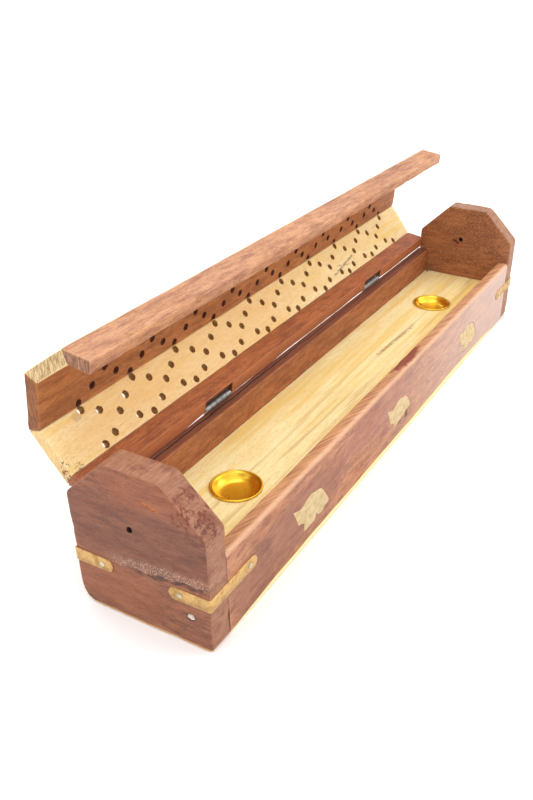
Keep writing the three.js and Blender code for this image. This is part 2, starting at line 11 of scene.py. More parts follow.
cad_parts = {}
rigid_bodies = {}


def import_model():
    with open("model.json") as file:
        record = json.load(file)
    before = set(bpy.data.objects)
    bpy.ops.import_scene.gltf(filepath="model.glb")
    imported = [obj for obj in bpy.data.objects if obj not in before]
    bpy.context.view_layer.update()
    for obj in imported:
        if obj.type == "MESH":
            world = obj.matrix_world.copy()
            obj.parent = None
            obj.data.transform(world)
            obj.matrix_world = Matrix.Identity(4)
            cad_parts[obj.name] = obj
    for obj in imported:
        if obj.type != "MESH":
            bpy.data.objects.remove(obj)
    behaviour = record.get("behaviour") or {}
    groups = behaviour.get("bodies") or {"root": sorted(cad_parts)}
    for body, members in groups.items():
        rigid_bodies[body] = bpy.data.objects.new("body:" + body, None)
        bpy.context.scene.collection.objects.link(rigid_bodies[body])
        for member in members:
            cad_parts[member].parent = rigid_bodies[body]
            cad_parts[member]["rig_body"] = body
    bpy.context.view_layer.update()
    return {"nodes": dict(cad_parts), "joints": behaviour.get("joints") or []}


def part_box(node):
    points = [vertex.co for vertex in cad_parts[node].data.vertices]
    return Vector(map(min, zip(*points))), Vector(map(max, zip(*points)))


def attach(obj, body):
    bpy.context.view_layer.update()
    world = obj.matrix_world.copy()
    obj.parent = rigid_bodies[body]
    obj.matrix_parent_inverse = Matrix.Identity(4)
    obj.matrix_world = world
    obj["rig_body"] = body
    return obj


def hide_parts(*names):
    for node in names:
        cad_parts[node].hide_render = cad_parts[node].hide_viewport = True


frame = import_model()

MM = 0.001
TO_METRES = Matrix.Scale(MM, 4)

# ---------------------------------------------------------------- measures from the frame, in millimetres

HINGE_JOINT = next(joint for joint in frame["joints"] if joint["name"] == "lid_hinge")
HINGE = Vector(HINGE_JOINT["pos_m"]) / MM
LID_SWING = math.radians(HINGE_JOINT["range_deg"][0])
OPEN_LID = Matrix.Translation(HINGE) @ Matrix.Rotation(LID_SWING, 4, "X") @ Matrix.Translation(-HINGE)


def box_mm(node):
    low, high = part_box(node)
    return low / MM, high / MM


def vertices_mm(node):
    return np.array([v.co for v in frame["nodes"][node].data.vertices], float) / MM


BODY_LOW, BODY_HIGH = box_mm("front_board")
BACK_LOW, BACK_HIGH = box_mm("back_board")
SHELF_LOW, SHELF_HIGH = box_mm("incense_shelf")
PANEL_LOW, PANEL_HIGH = box_mm("storage_panel")
LEFT_LOW, LEFT_HIGH = box_mm("left_end_board")
RIGHT_LOW, RIGHT_HIGH = box_mm("right_end_board")
MIDDLE_Y = (LEFT_LOW.y + LEFT_HIGH.y) / 2

# ---------------------------------------------------------------- shapes

ARC_STEPS = 5


def rounded_loop(corners, pitch):
    """A closed 2-D loop through corners (a, b, radius), its points at most pitch apart on the straights."""
    count = len(corners)
    arcs = []
    for i, (a, b, radius) in enumerate(corners):
        corner = np.array((a, b))
        before = np.array(corners[i - 1][:2]) - corner
        after = np.array(corners[(i + 1) % count][:2]) - corner
        entry = corner + before / np.linalg.norm(before) * radius
        leave = corner + after / np.linalg.norm(after) * radius
        steps = np.linspace(0, 1, ARC_STEPS)[:, None]
        arcs.append((1 - steps) ** 2 * entry + 2 * steps * (1 - steps) * corner + steps**2 * leave)
    loop = []
    for i, arc in enumerate(arcs):
        loop.extend(arc)
        start, end = arc[-1], arcs[(i + 1) % count][0]
        pieces = max(1, math.ceil(np.linalg.norm(end - start) / pitch))
        loop.extend(start + (end - start) * k / pieces for k in range(1, pieces))
    return np.array(loop)


def loop_normals(loop):
    """Outward unit normals of a counter-clockwise loop."""
    along = np.roll(loop, -1, 0) - np.roll(loop, 1, 0)
    along /= np.linalg.norm(along, axis=1)[:, None]
    return np.stack([along[:, 1], -along[:, 0]], 1)


def bridge(bm, first, second):
    count = len(first)
    for j in range(count):
        k = (j + 1) % count
        bm.faces.new((first[j], first[k], second[k], second[j]))


def cap(bm, ring, rings, flip):
    """Closes a loop with rings that shrink towards its middle."""
    middle = sum((v.co for v in ring), Vector()) / len(ring)
    last = ring
    for k in range(1, rings):
        share = 1 - k / rings
        inner = [bm.verts.new(middle + (v.co - middle) * share) for v in ring]
        bridge(bm, *((inner, last) if flip else (last, inner)))
        last = inner
    hub = bm.verts.new(middle)
    for j in range(len(last)):
        pair = (last[j], last[(j + 1) % len(last)])
        bm.faces.new((*(reversed(pair) if flip else pair), hub))


def sweep(loop, stations, rings=3):
    """A closed body from a loop in (b, c) carried along stations (a, inset), as a bmesh in (a, b, c).

    recalc_face_normals leaves the faces of some of these bodies turned inwards.
    """
    bm = bmesh.new()
    normals = loop_normals(loop)
    rows = []
    for a, inset in stations:
        points = loop - normals * inset
        rows.append([bm.verts.new((a, b, c)) for b, c in points])
    for first, second in zip(rows, rows[1:]):
        bridge(bm, first, second)
    cap(bm, rows[0], rings, True)
    cap(bm, rows[-1], rings, False)
    bmesh.ops.recalc_face_normals(bm, faces=bm.faces)
    return bm


def stations(start, end, pitch, nose):
    """Stations along a board whose end edges are rounded by nose."""
    turns = np.linspace(0, math.pi / 2, 4)
    front = [(start + nose * (1 - math.cos(t)), nose * (1 - math.sin(t))) for t in turns]
    back = [(end - (a - start), inset) for a, inset in reversed(front)]
    inner_start, inner_end = start + nose, end - nose
    count = max(1, math.ceil((inner_end - inner_start) / pitch))
    middle = [(inner_start + (inner_end - inner_start) * k / count, 0) for k in range(1, count)]
    return front + middle + back


def edge_distances(points, corners, start, end):
    """For points on a convex board, how far each is from the nearest edge: its second nearest face."""
    spans = [points[:, 0] - start, end - points[:, 0]]
    count = len(corners)
    for i in range(count):
        a = np.array(corners[i][:2])
        along = np.array(corners[(i + 1) % count][:2]) - a
        along /= np.linalg.norm(along)
        inward = np.array((-along[1], along[0]))
        spans.append((points[:, 1:] - a) @ inward)
    return np.sort(np.abs(np.array(spans)), axis=0)[1]


def soft_noise(point, size, seed):
    """Smooth noise from -1 to 1 with features of the given sizes, in millimetres."""
    return noise.noise(Vector((point[0] / size[0], point[1] / size[1], point[2] / size[2] + seed * 7.31)))


def weather(bm, corners, start, end, seed, wave=0.14, wear=0.5, grain=0):
    """Hand-planed faces that wave a little, and uneven edges, all moved along the vertex normals."""
    bm.normal_update()
    points = np.array([v.co for v in bm.verts], float)
    edges = edge_distances(points, corners, start, end)
    long_way = [24, 24, 24]
    long_way[grain] = 70
    moves = []
    for vert, edge in zip(bm.verts, edges):
        rise = wave * soft_noise(vert.co, long_way, seed)
        near = math.exp(-((edge / 1.1) ** 2))
        chip = max(0.0, soft_noise(vert.co, (5, 3, 3), seed + 3) - 0.12)
        scuff = max(0.0, soft_noise(vert.co, (17, 9, 9), seed + 5) - 0.05)
        moves.append(vert.normal * (rise - near * wear * (chip + scuff)))
    for vert, move in zip(bm.verts, moves):
        vert.co += move


def lathe(profile, segments=48):
    """A closed turned body from (radius, height) points that start and end on the axis, in (x, y, height)."""
    bm = bmesh.new()
    rings = []
    for radius, height in profile:
        if radius < 1e-6:
            rings.append([bm.verts.new((0, 0, height))])
            continue
        angles = [2 * math.pi * k / segments for k in range(segments)]
        rings.append([bm.verts.new((radius * math.cos(t), radius * math.sin(t), height)) for t in angles])
    for first, second in zip(rings, rings[1:]):
        if len(first) > 1 and len(second) > 1:
            bridge(bm, first, second)
            continue
        tip, ring = (first[0], second) if len(first) == 1 else (second[0], first)
        for j in range(segments):
            bm.faces.new((tip, ring[j], ring[(j + 1) % segments]))
    bmesh.ops.recalc_face_normals(bm, faces=bm.faces)
    return bm


def arc(centre, radius, start, end, steps):
    """Points of a circular arc, angles in degrees."""
    turns = np.radians(np.linspace(start, end, steps))
    return [(centre[0] + radius * math.cos(t), centre[1] + radius * math.sin(t)) for t in turns]


def object_from(name, bm, transform, look=None):
    """A new object from a bmesh, which is freed."""
    mesh = bpy.data.meshes.new(name)
    bm.to_mesh(mesh)
    bm.free()
    mesh.transform(transform)
    if look:
        mesh.materials.append(look)
    thing = bpy.data.objects.new(name, mesh)
    bpy.context.scene.collection.objects.link(thing)
    return thing


def tool(bm, look=None):
    """A temporary object that cuts or joins, in metres."""
    return object_from("tool", bm, TO_METRES, look)


def shape(piece, tools, operation="DIFFERENCE"):
    """Cuts or joins the tools, then bakes the result into the piece and removes the tools."""
    for thing in tools:
        modifier = piece.modifiers.new("shape", "BOOLEAN")
        modifier.operation = operation
        modifier.solver = "MANIFOLD"
        modifier.material_mode = "TRANSFER"
        modifier.object = thing
    bake(piece)
    for thing in tools:
        bpy.data.objects.remove(thing)


def bake(piece):
    graph = bpy.context.evaluated_depsgraph_get()
    mesh = bpy.data.meshes.new_from_object(piece.evaluated_get(graph))
    piece.modifiers.clear()
    piece.data = mesh


def piece_from(name, bm, look, place=None):
    """A new object from a bmesh in millimetres, moved by place and scaled to metres."""
    return object_from(name, bm, TO_METRES @ (place or Matrix.Identity(4)), look)


def smooth(piece, degrees=32):
    piece.data.shade_smooth()
    piece.data.set_sharp_from_angle(angle=math.radians(degrees))


def finish_piece(piece, node, degrees=32):
    """Stands the piece in for its CAD node, on the node's body."""
    smooth(piece, degrees)
    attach(piece, frame["nodes"][node]["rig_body"])
    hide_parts(node)
    return piece


def stand_in(node, bm, look, degrees=32, place=None):
    """A finished piece from a bmesh in millimetres, in place of its CAD node."""
    return finish_piece(piece_from(node + "_fine", bm, look, place), node, degrees)


def mark(piece, attribute, values):
    """Stores one number per vertex for the materials to read."""
    layer = piece.data.attributes.new(attribute, "FLOAT", "POINT")
    layer.data.foreach_set("value", np.asarray(values, np.float32))


def coordinates_mm(piece):
    flat = np.zeros(len(piece.data.vertices) * 3, np.float32)
    piece.data.vertices.foreach_get("co", flat)
    return flat.reshape(-1, 3).astype(float) / MM


# ---------------------------------------------------------------- materials


def tone(code):
    """Linear colour of a six-digit sRGB code."""
    values = [int(code[i : i + 2], 16) / 255 for i in (0, 2, 4)]
    linear = [v / 12.92 if v <= 0.04045 else ((v + 0.055) / 1.055) ** 2.4 for v in values]
    return (*linear, 1.0)


class Shader:
    """A material's node tree, with one short call per node."""

    def __init__(self, name):
        self.material = bpy.data.materials.new(name)
        self.material.use_nodes = True
        self.tree = self.material.node_tree
        self.tree.nodes.clear()

    def add(self, kind, inputs, **settings):
        node = self.tree.nodes.new("ShaderNode" + kind)
        for key, value in settings.items():
            setattr(node, key, value)
        for key, value in inputs.items():
            if isinstance(value, bpy.types.NodeSocket):
                self.tree.links.new(value, node.inputs[key])
            else:
                node.inputs[key].default_value = value
        return node

    def math(self, operation, *values):
        return self.add("Math", dict(enumerate(values)), operation=operation).outputs[0]

    def times(self, first, second):
        return self.math("MULTIPLY", first, second)

    def plus(self, first, second):
        return self.math("ADD", first, second)

    def minus(self, first, second):
        return self.math("SUBTRACT", first, second)

    def absolute(self, value):
        return self.math("ABSOLUTE", value)

    def vector(self, operation, *values):
        return self.add("VectorMath", dict(enumerate(values)), operation=operation).outputs[0]

    def stretch(self, vector, factors):
        return self.vector("MULTIPLY", vector, factors)

    def offset(self, vector, origin):
        return self.vector("SUBTRACT", vector, origin)

    def length(self, vector):
        return self.add("VectorMath", {0: vector}, operation="LENGTH").outputs["Value"]

    def dot(self, first, second):
        return self.add("VectorMath", {0: first, 1: second}, operation="DOT_PRODUCT").outputs["Value"]

    def noise(self, vector, scale, detail=2.0, roughness=0.5):
        inputs = {"Vector": vector, "Scale": scale, "Detail": detail, "Roughness": roughness}
        return self.add("TexNoise", inputs).outputs[0]

    def bands(self, position, detail=2.0):
        inputs = {"W": position, "Scale": 1.0, "Detail": detail, "Roughness": 0.55}
        return self.add("TexNoise", inputs, noise_dimensions="1D").outputs[0]

    def spread(self, value, low, high, to_low=0.0, to_high=1.0):
        inputs = {"Value": value, "From Min": low, "From Max": high, "To Min": to_low, "To Max": to_high}
        return self.add("MapRange", inputs, interpolation_type="SMOOTHSTEP").outputs[0]

    def mix(self, share, first, second):
        return self.add("Mix", {0: share, 6: first, 7: second}, data_type="RGBA").outputs[2]

    def place(self):
        """Position on the piece, in millimetres of the frame."""
        coordinates = self.add("TexCoord", {}).outputs["Object"]
        return self.add("VectorMath", {0: coordinates, "Scale": 1 / MM}, operation="SCALE").outputs[0]

    def normal(self):
        return self.add("TexCoord", {}).outputs["Normal"]

    def split(self, vector):
        return self.add("SeparateXYZ", {0: vector}).outputs

    def attribute(self, name):
        return self.add("Attribute", {}, attribute_name=name).outputs["Fac"]

    def near(self, place, centre, reach, fuzz):
        """1 close to a point of the frame, fading to 0 at reach, with an edge that fuzz makes ragged."""
        away = self.length(self.offset(place, centre))
        ragged = self.plus(away, self.times(fuzz, reach))
        return self.spread(ragged, reach * 0.9, reach * 1.5, 1.0, 0.0)

    def finish(self, color, roughness, height, depth, **extra):
        bump = self.add("Bump", {"Height": height, "Distance": depth * MM, "Strength": 1.0}).outputs[0]
        inputs = {"Base Color": color, "Roughness": roughness, "Normal": bump, **extra}
        surface = self.add("BsdfPrincipled", inputs).outputs[0]
        self.add("OutputMaterial", {"Surface": surface})
        return self.material


ROSEWOOD = dict(light="a36a4e", dark="7f4b36", deep="553025", warm="a35d38", pore="3f221a")
FRONT_WOOD = dict(light="c98f6b", dark="a66e4e", deep="754437", warm="c67e4e", pore="613425")
ORANGE_WOOD = dict(light="bf7c50", dark="9a5a34", deep="78412b", warm="c06c38", pore="5a301c")
PALE = dict(light="fbefbb", dark="f2db9c", deep="e6c27b", warm="f3d488", pore="cfa865")
PALE_SLOPE = dict(light="f8e6b4", dark="f0d293", deep="e2b570", warm="f0c47a", pore="c4924c")


def wood(name, tones, seed, grain, tilt, pith, ring, extras, figure=0.55, blotch=0.5):
    """Solid wood: rings about a pith line, fibres and pores along the grain, clouds of colour, worn edges."""
    s = Shader(name)
    light, dark, deep, warm, pore = (tone(tones[key]) for key in ("light", "dark", "deep", "warm", "pore"))
    place = s.place()
    turn = {"X": (0.0, 0.0, 0.0), "Y": (0.0, 0.0, math.pi / 2), "Z": (0.0, math.pi / 2, 0.0)}[grain]
    rotation = tuple(a + b for a, b in zip(turn, tilt))
    mapping = {"Vector": place, "Rotation": rotation, "Location": (seed * 37.0, 0, 0)}
    log = s.add("Mapping", mapping).outputs[0]
    drift = s.add("TexNoise", {"Vector": log, "Scale": 0.025, "Detail": 2.0}).outputs[1]
    drift = s.offset(drift, (0.5, 0.5, 0.5))
    warped = s.add("VectorMath", {0: drift, 1: (0, 14, 14), 2: log}, operation="MULTIPLY_ADD").outputs[0]
    radius = s.length(s.stretch(s.offset(warped, (0, *pith)), (0, 1, 1)))
    rings = s.spread(s.bands(s.math("DIVIDE", radius, ring)), 0.3, 0.7)
    streaks = s.noise(s.stretch(warped, (0.04, 1, 1)), 0.7, 4.0, 0.62)
    fibre = s.noise(s.stretch(log, (0.06, 1, 1)), 2.4, 3.0, 0.7)
    grit = s.noise(s.stretch(log, (0.5, 1, 1)), 1.9, 2.0, 0.7)
    fleck = s.noise(s.stretch(log, (0.22, 1, 1)), 0.85, 3.0, 0.7)
    pores = s.spread(s.noise(s.stretch(log, (0.13, 1, 1)), 3.4, 1.0), 0.64, 0.72)
    cloud = s.noise(s.stretch(warped, (0.4, 1, 1)), 0.07, 3.0, 0.6)
    blush = s.noise(s.vector("ADD", s.stretch(warped, (0.3, 1, 1)), (91, 17, 43)), 0.09, 3.0, 0.6)
    color = s.mix(s.times(rings, 0.42), light, dark)
    color = s.mix(s.spread(streaks, 0.42, 0.72, 0.0, 0.6), color, dark)
    color = s.mix(s.spread(cloud, 0.45, 0.7, 0.0, figure), color, deep)
    color = s.mix(s.spread(blush, 0.48, 0.72, 0.0, 0.55), color, warm)
    color = s.mix(s.spread(fibre, 0.3, 0.62, figure + 0.1, 0.0), color, deep)
    color = s.mix(s.spread(grit, 0.3, 0.6, figure, 0.0), color, dark)
    color = s.mix(s.spread(fleck, 0.5, 0.72, 0.0, figure), color, deep)
    color = s.mix(s.spread(grit, 0.52, 0.72, 0.0, 0.5), color, light)
    color = s.mix(s.times(pores, 0.5), color, pore)
    mottle = s.noise(s.stretch(log, (0.2, 1, 1)), 0.4, 4.0, 0.68)
    color = s.mix(s.spread(mottle, 0.36, 0.5, blotch, 0.0), color, deep)
    color = s.mix(s.spread(mottle, 0.52, 0.66, 0.0, blotch), color, light)
    height = s.minus(s.times(fibre, 0.7), s.times(pores, 0.4))
    height = s.plus(height, s.times(s.plus(streaks, grit), 0.3))
    edge = s.attribute("edge")
    worn = s.spread(s.plus(edge, s.times(streaks, 1.6)), 0.6, 1.5, 0.6, 0.0)
    color = s.mix(worn, color, light)
    for extra in extras:
        color, height = extra(s, place, color, height, fibre)
    roughness = s.spread(fibre, 0.2, 0.8, 0.5, 0.72)
    return s.finish(color, roughness, height, 0.16, **{"Specular IOR Level": 0.32})


def end_grain(code, strength=0.6, axis=0):
    """Darker, streaked ends where the saw cut across the fibres."""

    def extra(s, place, color, height, fine):
        facing = s.absolute(s.split(s.normal())[axis])
        across = s.noise(s.stretch(place, (1, 1, 0.16)), 1.5, 3.0, 0.7)
        share = s.times(s.spread(facing, 0.6, 0.9), s.spread(across, 0.35, 0.65, 0.15, strength))
        return s.mix(share, color, tone(code)), s.minus(height, s.times(share, 0.8))

    return extra


def saw_marks(pale, torn):
    """Edges across the board's thickness: a paler cut with fine saw lines and torn reddish patches."""

    def extra(s, place, color, height, fine):
        facing = s.absolute(s.split(s.normal())[0])
        share = s.spread(facing, 0.35, 0.75, 0.8, 0.0)
        lines = s.noise(s.stretch(place, (0.12, 1, 1)), 1.7, 3.0, 0.7)
        patch = s.noise(place, 0.16, 3.0, 0.65)
        cut = s.mix(s.spread(lines, 0.35, 0.65, 0.0, 0.55), tone(pale), tone(torn))
        cut = s.mix(s.spread(patch, 0.46, 0.68, 0.0, 0.7), cut, tone(torn))
        return s.mix(share, color, cut), s.plus(height, s.times(share, lines))

    return extra


def stain(centre, reach, code, strength=0.8, speckle=0.0, stretch=(1, 1, 1)):
    """A ragged stain about one point of the frame, longer along the axes that stretch raises."""

    def extra(s, place, color, height, fine):
        fuzz = s.minus(s.noise(place, 0.35, 3.0, 0.6), 0.5)
        squeeze = tuple(1 / k for k in stretch)
        away = s.stretch(s.offset(place, centre), squeeze)
        share = s.times(s.near(away, (0, 0, 0), reach, fuzz), strength)
        if speckle:
            dots = s.spread(s.noise(place, speckle, 2.0, 0.7), 0.5, 0.6)
            share = s.times(share, dots)
        return s.mix(share, color, tone(code)), s.minus(height, share)

    return extra


def torn_band(start, end, above, below):
    """Fibres torn by a blunt saw along a line in (y, z): a dark groove under a strip of pale specks."""
    run = np.array(end) - np.array(start)
    reach = float(np.linalg.norm(run))
    along = (0.0, *(run / reach))
    across = (0.0, -along[2], along[1])
    if across[2] < 0:
        across = tuple(-k for k in across)

    def extra(s, place, color, height, fine):
        away = s.offset(place, (0.0, *start))
        travel = s.dot(away, along)
        rise = s.dot(away, across)
        wander = s.times(s.minus(s.noise(place, 0.22, 3.0, 0.65), 0.5), 4.5)
        rise = s.plus(rise, wander)
        inside = s.times(s.spread(travel, -2, 7), s.spread(travel, reach - 4, reach + 2, 1.0, 0.0))
        specks = s.spread(s.noise(place, 1.9, 2.0, 0.75), 0.5, 0.58)
        strip = s.times(s.spread(rise, -0.6, 0.5), s.spread(rise, above * 0.5, above, 1.0, 0.0))
        strip = s.times(s.times(strip, inside), 0.6)
        haze = s.times(strip, 0.35)
        core = s.times(s.spread(rise, -below, -below * 0.3), s.spread(rise, 0.1, 0.9, 1.0, 0.0))
        grooves = s.spread(s.noise(s.stretch(place, (1, 0.3, 1)), 1.4, 3.0, 0.7), 0.4, 0.56)
        core = s.times(s.times(core, s.spread(travel, 2, 16)), grooves)
        core = s.times(s.times(core, inside), 0.85)
        color = s.mix(haze, color, tone("8a6152"))
        color = s.mix(s.times(strip, specks), color, tone("c8aa92"))
        color = s.mix(core, color, tone("3d2a28"))
        return color, s.minus(height, s.plus(core, haze))

    return extra


def scratch(start, end, width, code, strength=0.8):
    """A broken score in the surface between two points of the frame."""
    run = Vector(end) - Vector(start)
    reach = run.length
    along = tuple(run / reach)

    def extra(s, place, color, height, fine):
        away = s.offset(place, start)
        travel = s.dot(away, along)
        foot = s.add("VectorMath", {0: along, "Scale": travel}, operation="SCALE").outputs[0]
        wobble = s.times(s.minus(s.noise(place, 0.5, 2.0), 0.5), width * 2)
        off = s.plus(s.length(s.offset(away, foot)), wobble)
        inside = s.times(s.spread(travel, 0, 1), s.spread(travel, reach - 1, reach, 1.0, 0.0))
        broken = s.spread(s.noise(place, 0.9, 2.0), 0.36, 0.5)
        share = s.times(s.spread(off, width * 0.4, width, strength, 0.0), inside)
        share = s.times(share, broken)
        return s.mix(share, color, tone(code)), s.minus(height, share)

    return extra


def foot_highlight(level, code, strength=0.8):
    """A thin painted highlight along the bottom edge, where the rounded foot catches light from the floor."""

    def extra(s, place, color, height, fine):
        z = s.split(place)[2]
        ragged = s.plus(z, s.times(fine, 0.8))
        # painted highlight: a lighter line just above the given level
        return s.mix(s.spread(ragged, level, level + 0.7, strength, 0.0), color, tone(code)), height

    return extra


def hole_wall(name, code, dark):
    s = Shader(name)
    place = s.place()
    grit = s.noise(place, 2.6, 3.0, 0.7)
    color = s.mix(s.spread(grit, 0.35, 0.65), tone(dark), tone(code))
    return s.finish(color, 0.85, grit, 0.3)


def metal(name, bright, dull, rough, patina, scratch=1.0, depth=0.03):
    """Rolled or spun metal with tarnish, fine scratches and shallow dents."""
    s = Shader(name)
    place = s.place()
    blotch = s.noise(place, 0.35, 4.0, 0.6)
    grit = s.noise(place, 4.0, 3.0, 0.7)
    lines = s.noise(s.stretch(place, (0.25, 3.0, 5.0)), 1.6, 2.0, 0.6)
    tarnish = s.times(s.spread(blotch, 0.4, 0.7), patina)
    color = s.mix(tarnish, tone(bright), tone(dull))
    color = s.mix(s.spread(grit, 0.6, 0.8, 0.0, patina), color, tone(dull))
    roughness = s.plus(s.spread(blotch, 0.3, 0.7, rough, rough + 0.16), s.spread(lines, 0.5, 0.7, 0, 0.08))
    height = s.plus(s.times(lines, scratch), s.times(blotch, 1.5))
    return s.finish(color, roughness, height, depth, Metallic=1.0)


CUP_SHADOW_RADIUS = 9.0


def cup_metal(name, centre):
    """Bright spun brass, with turning lines round the cup's axis and a painted shadow line under the lip."""
    s = Shader(name)
    place = s.offset(s.place(), centre)
    radius = s.length(s.stretch(place, (1, 1, 0)))
    lines = s.bands(s.times(radius, 2.2), 2.0)
    blotch = s.noise(place, 0.2, 3.0, 0.6)
    color = s.mix(s.spread(blotch, 0.3, 0.7), tone("fdd64e"), tone("f4bd34"))
    color = s.mix(s.spread(lines, 0.5, 0.75, 0.0, 0.25), color, tone("d59a22"))
    # painted shadow: a dark ring where the rolled lip overhangs the shelf
    shadow_ring_distance = s.absolute(s.minus(radius, CUP_SHADOW_RADIUS))
    color = s.mix(s.spread(shadow_ring_distance, 0.1, 0.5, 0.6, 0.0), color, tone("8a6218"))
    roughness = s.spread(blotch, 0.3, 0.7, 0.26, 0.36)
    return s.finish(color, roughness, lines, 0.004, Metallic=1.0)


def filler(name):
    s = Shader(name)
    place = s.place()
    grit = s.noise(place, 2.2, 4.0, 0.7)
    color = s.mix(s.spread(grit, 0.4, 0.62), tone("efe6df"), tone("a98678"))
    return s.finish(color, 0.85, grit, 0.35)


# ---------------------------------------------------------------- boards of the base

PITCH = 2.6
NOSE = 0.45
LEFT_WALL = hole_wall("rosewood_bore", "4a2c20", "20110c")
PALE_WALL = hole_wall("pale_bore", "d9a45a", "8a5a26")
DARK_WALL = hole_wall("dark_bore", "86492d", "4a2616")
NOTCH_WALL = hole_wall("notch_wall", "8a5236", "54301f")
GOUGE = hole_wall("fresh_gouge", "c98357", "a8623c")
GROOVE_WOOD = hole_wall("groove_wood", "a9653a", "6f4128")


def make_board(node, corners, look, seed, wear=0.5, wave=0.14, rings=3, tools=(), grain=0, nose=NOSE):
    """A weathered board: corners in (y, z), swept along x between its CAD node's ends."""
    low, high = box_mm(node)
    loop = rounded_loop(corners, PITCH)
    bm = sweep(loop, stations(low.x, high.x, PITCH, nose), rings)
    weather(bm, corners, low.x, high.x, seed, wave, wear, grain)
    piece = piece_from(node + "_fine", bm, look)
    if tools:
        shape(piece, tools)
    mark(piece, "edge", edge_distances(coordinates_mm(piece), corners, low.x, high.x))
    return finish_piece(piece, node)


BLOCK_SLICE = 6.0


def board_corners(low, high, radii, lean=0.0):
    """A board's (y, z) corners with their radii, lower front first; the top back one may lean out."""
    places = ((low.y, low.z), (high.y, low.z), (high.y + lean, high.z), (low.y, high.z))
    return [(*place, radius) for place, radius in zip(places, radii)]


def block_tool(low, high, look=None):
    """A block cutter, sliced along x so that no face of the cut is long enough to close up wrongly."""
    bm = bmesh.new()
    bmesh.ops.create_cube(bm, size=1)
    size = Vector(high) - Vector(low)
    bm.transform(Matrix.Translation((Vector(low) + Vector(high)) / 2) @ Matrix.Diagonal((*size, 1)))
    for k in range(1, int(size.x / BLOCK_SLICE) + 1):
        geometry = bm.verts[:] + bm.edges[:] + bm.faces[:]
        spot = (low[0] + k * BLOCK_SLICE, 0, 0)
        bmesh.ops.bisect_plane(bm, geom=geometry, plane_co=spot, plane_no=(1, 0, 0))
    bmesh.ops.triangulate(bm, faces=bm.faces[:])
    return tool(bm, look)


def bore_tool(start, end, radius, look, seed=0, ragged=0.12, steps=7, sides=18):
    """A slightly uneven drill between two points."""
    start, end = Vector(start), Vector(end)
    along = (end - start).normalized()
    side = along.orthogonal().normalized()
    other = along.cross(side)
    bm = bmesh.new()
    rows = []
    for i in range(steps):
        centre = start.lerp(end, i / (steps - 1))
        row = []
        for k in range(sides):
            t = 2 * math.pi * k / sides
            wobble = noise.noise(Vector((math.cos(t) * 1.7, math.sin(t) * 1.7, i * 0.9 + seed * 5.3)))
            reach = radius * (1 + ragged * wobble)
            row.append(bm.verts.new(centre + (side * math.cos(t) + other * math.sin(t)) * reach))
        rows.append(row)
    for first, second in zip(rows, rows[1:]):
        bridge(bm, first, second)
    bm.faces.new(rows[0])
    bm.faces.new(rows[-1])
    bmesh.ops.recalc_face_normals(bm, faces=bm.faces)
    return tool(bm, look)


def gouge_tool(centre, radii, turn, look, seed):
    """A lumpy ellipsoid that scoops a scar out of a face."""
    bm = bmesh.new()
    bmesh.ops.create_icosphere(bm, subdivisions=3, radius=1)
    for vert in bm.verts:
        vert.co *= 1 + 0.16 * noise.noise(vert.co * 2.3 + Vector((seed * 3.7, 0, 0)))
    bm.transform(Matrix.Translation(centre) @ turn @ Matrix.Diagonal((*radii, 1)))
    return tool(bm, look)


SHOULDER_SHARE = 44.9 / 60.4
TOP_SHARE = 10.6 / 26.5


def end_corners(low, high, back_foot):
    half = (high.y - low.y) / 2
    shoulder = low.z + (high.z - low.z) * SHOULDER_SHARE
    top = half * TOP_SHARE
    return [
        (low.y, low.z, 1.6),
        (high.y, low.z, back_foot),
        (high.y, shoulder, 1.4),
        (MIDDLE_Y + top, high.z, 1.6),
        (MIDDLE_Y - top, high.z, 1.6),
        (low.y, shoulder, 1.2),
    ]


INCENSE_HOLE_RADIUS = 1.2
PLUG_RADIUS = 1.5
INCENSE_HOLE_Y = MIDDLE_Y + 2.2
LEFT_HOLE_Z = 38.8
RIGHT_HOLE_Z = 42.7


def incense_bore(low, high, z, seed):
    """The hole through an end board that holds an incense stick."""
    start, end = (low.x - 2, INCENSE_HOLE_Y, z), (high.x + 2, INCENSE_HOLE_Y, z)
    return bore_tool(start, end, INCENSE_HOLE_RADIUS, LEFT_WALL, seed, 0.3)


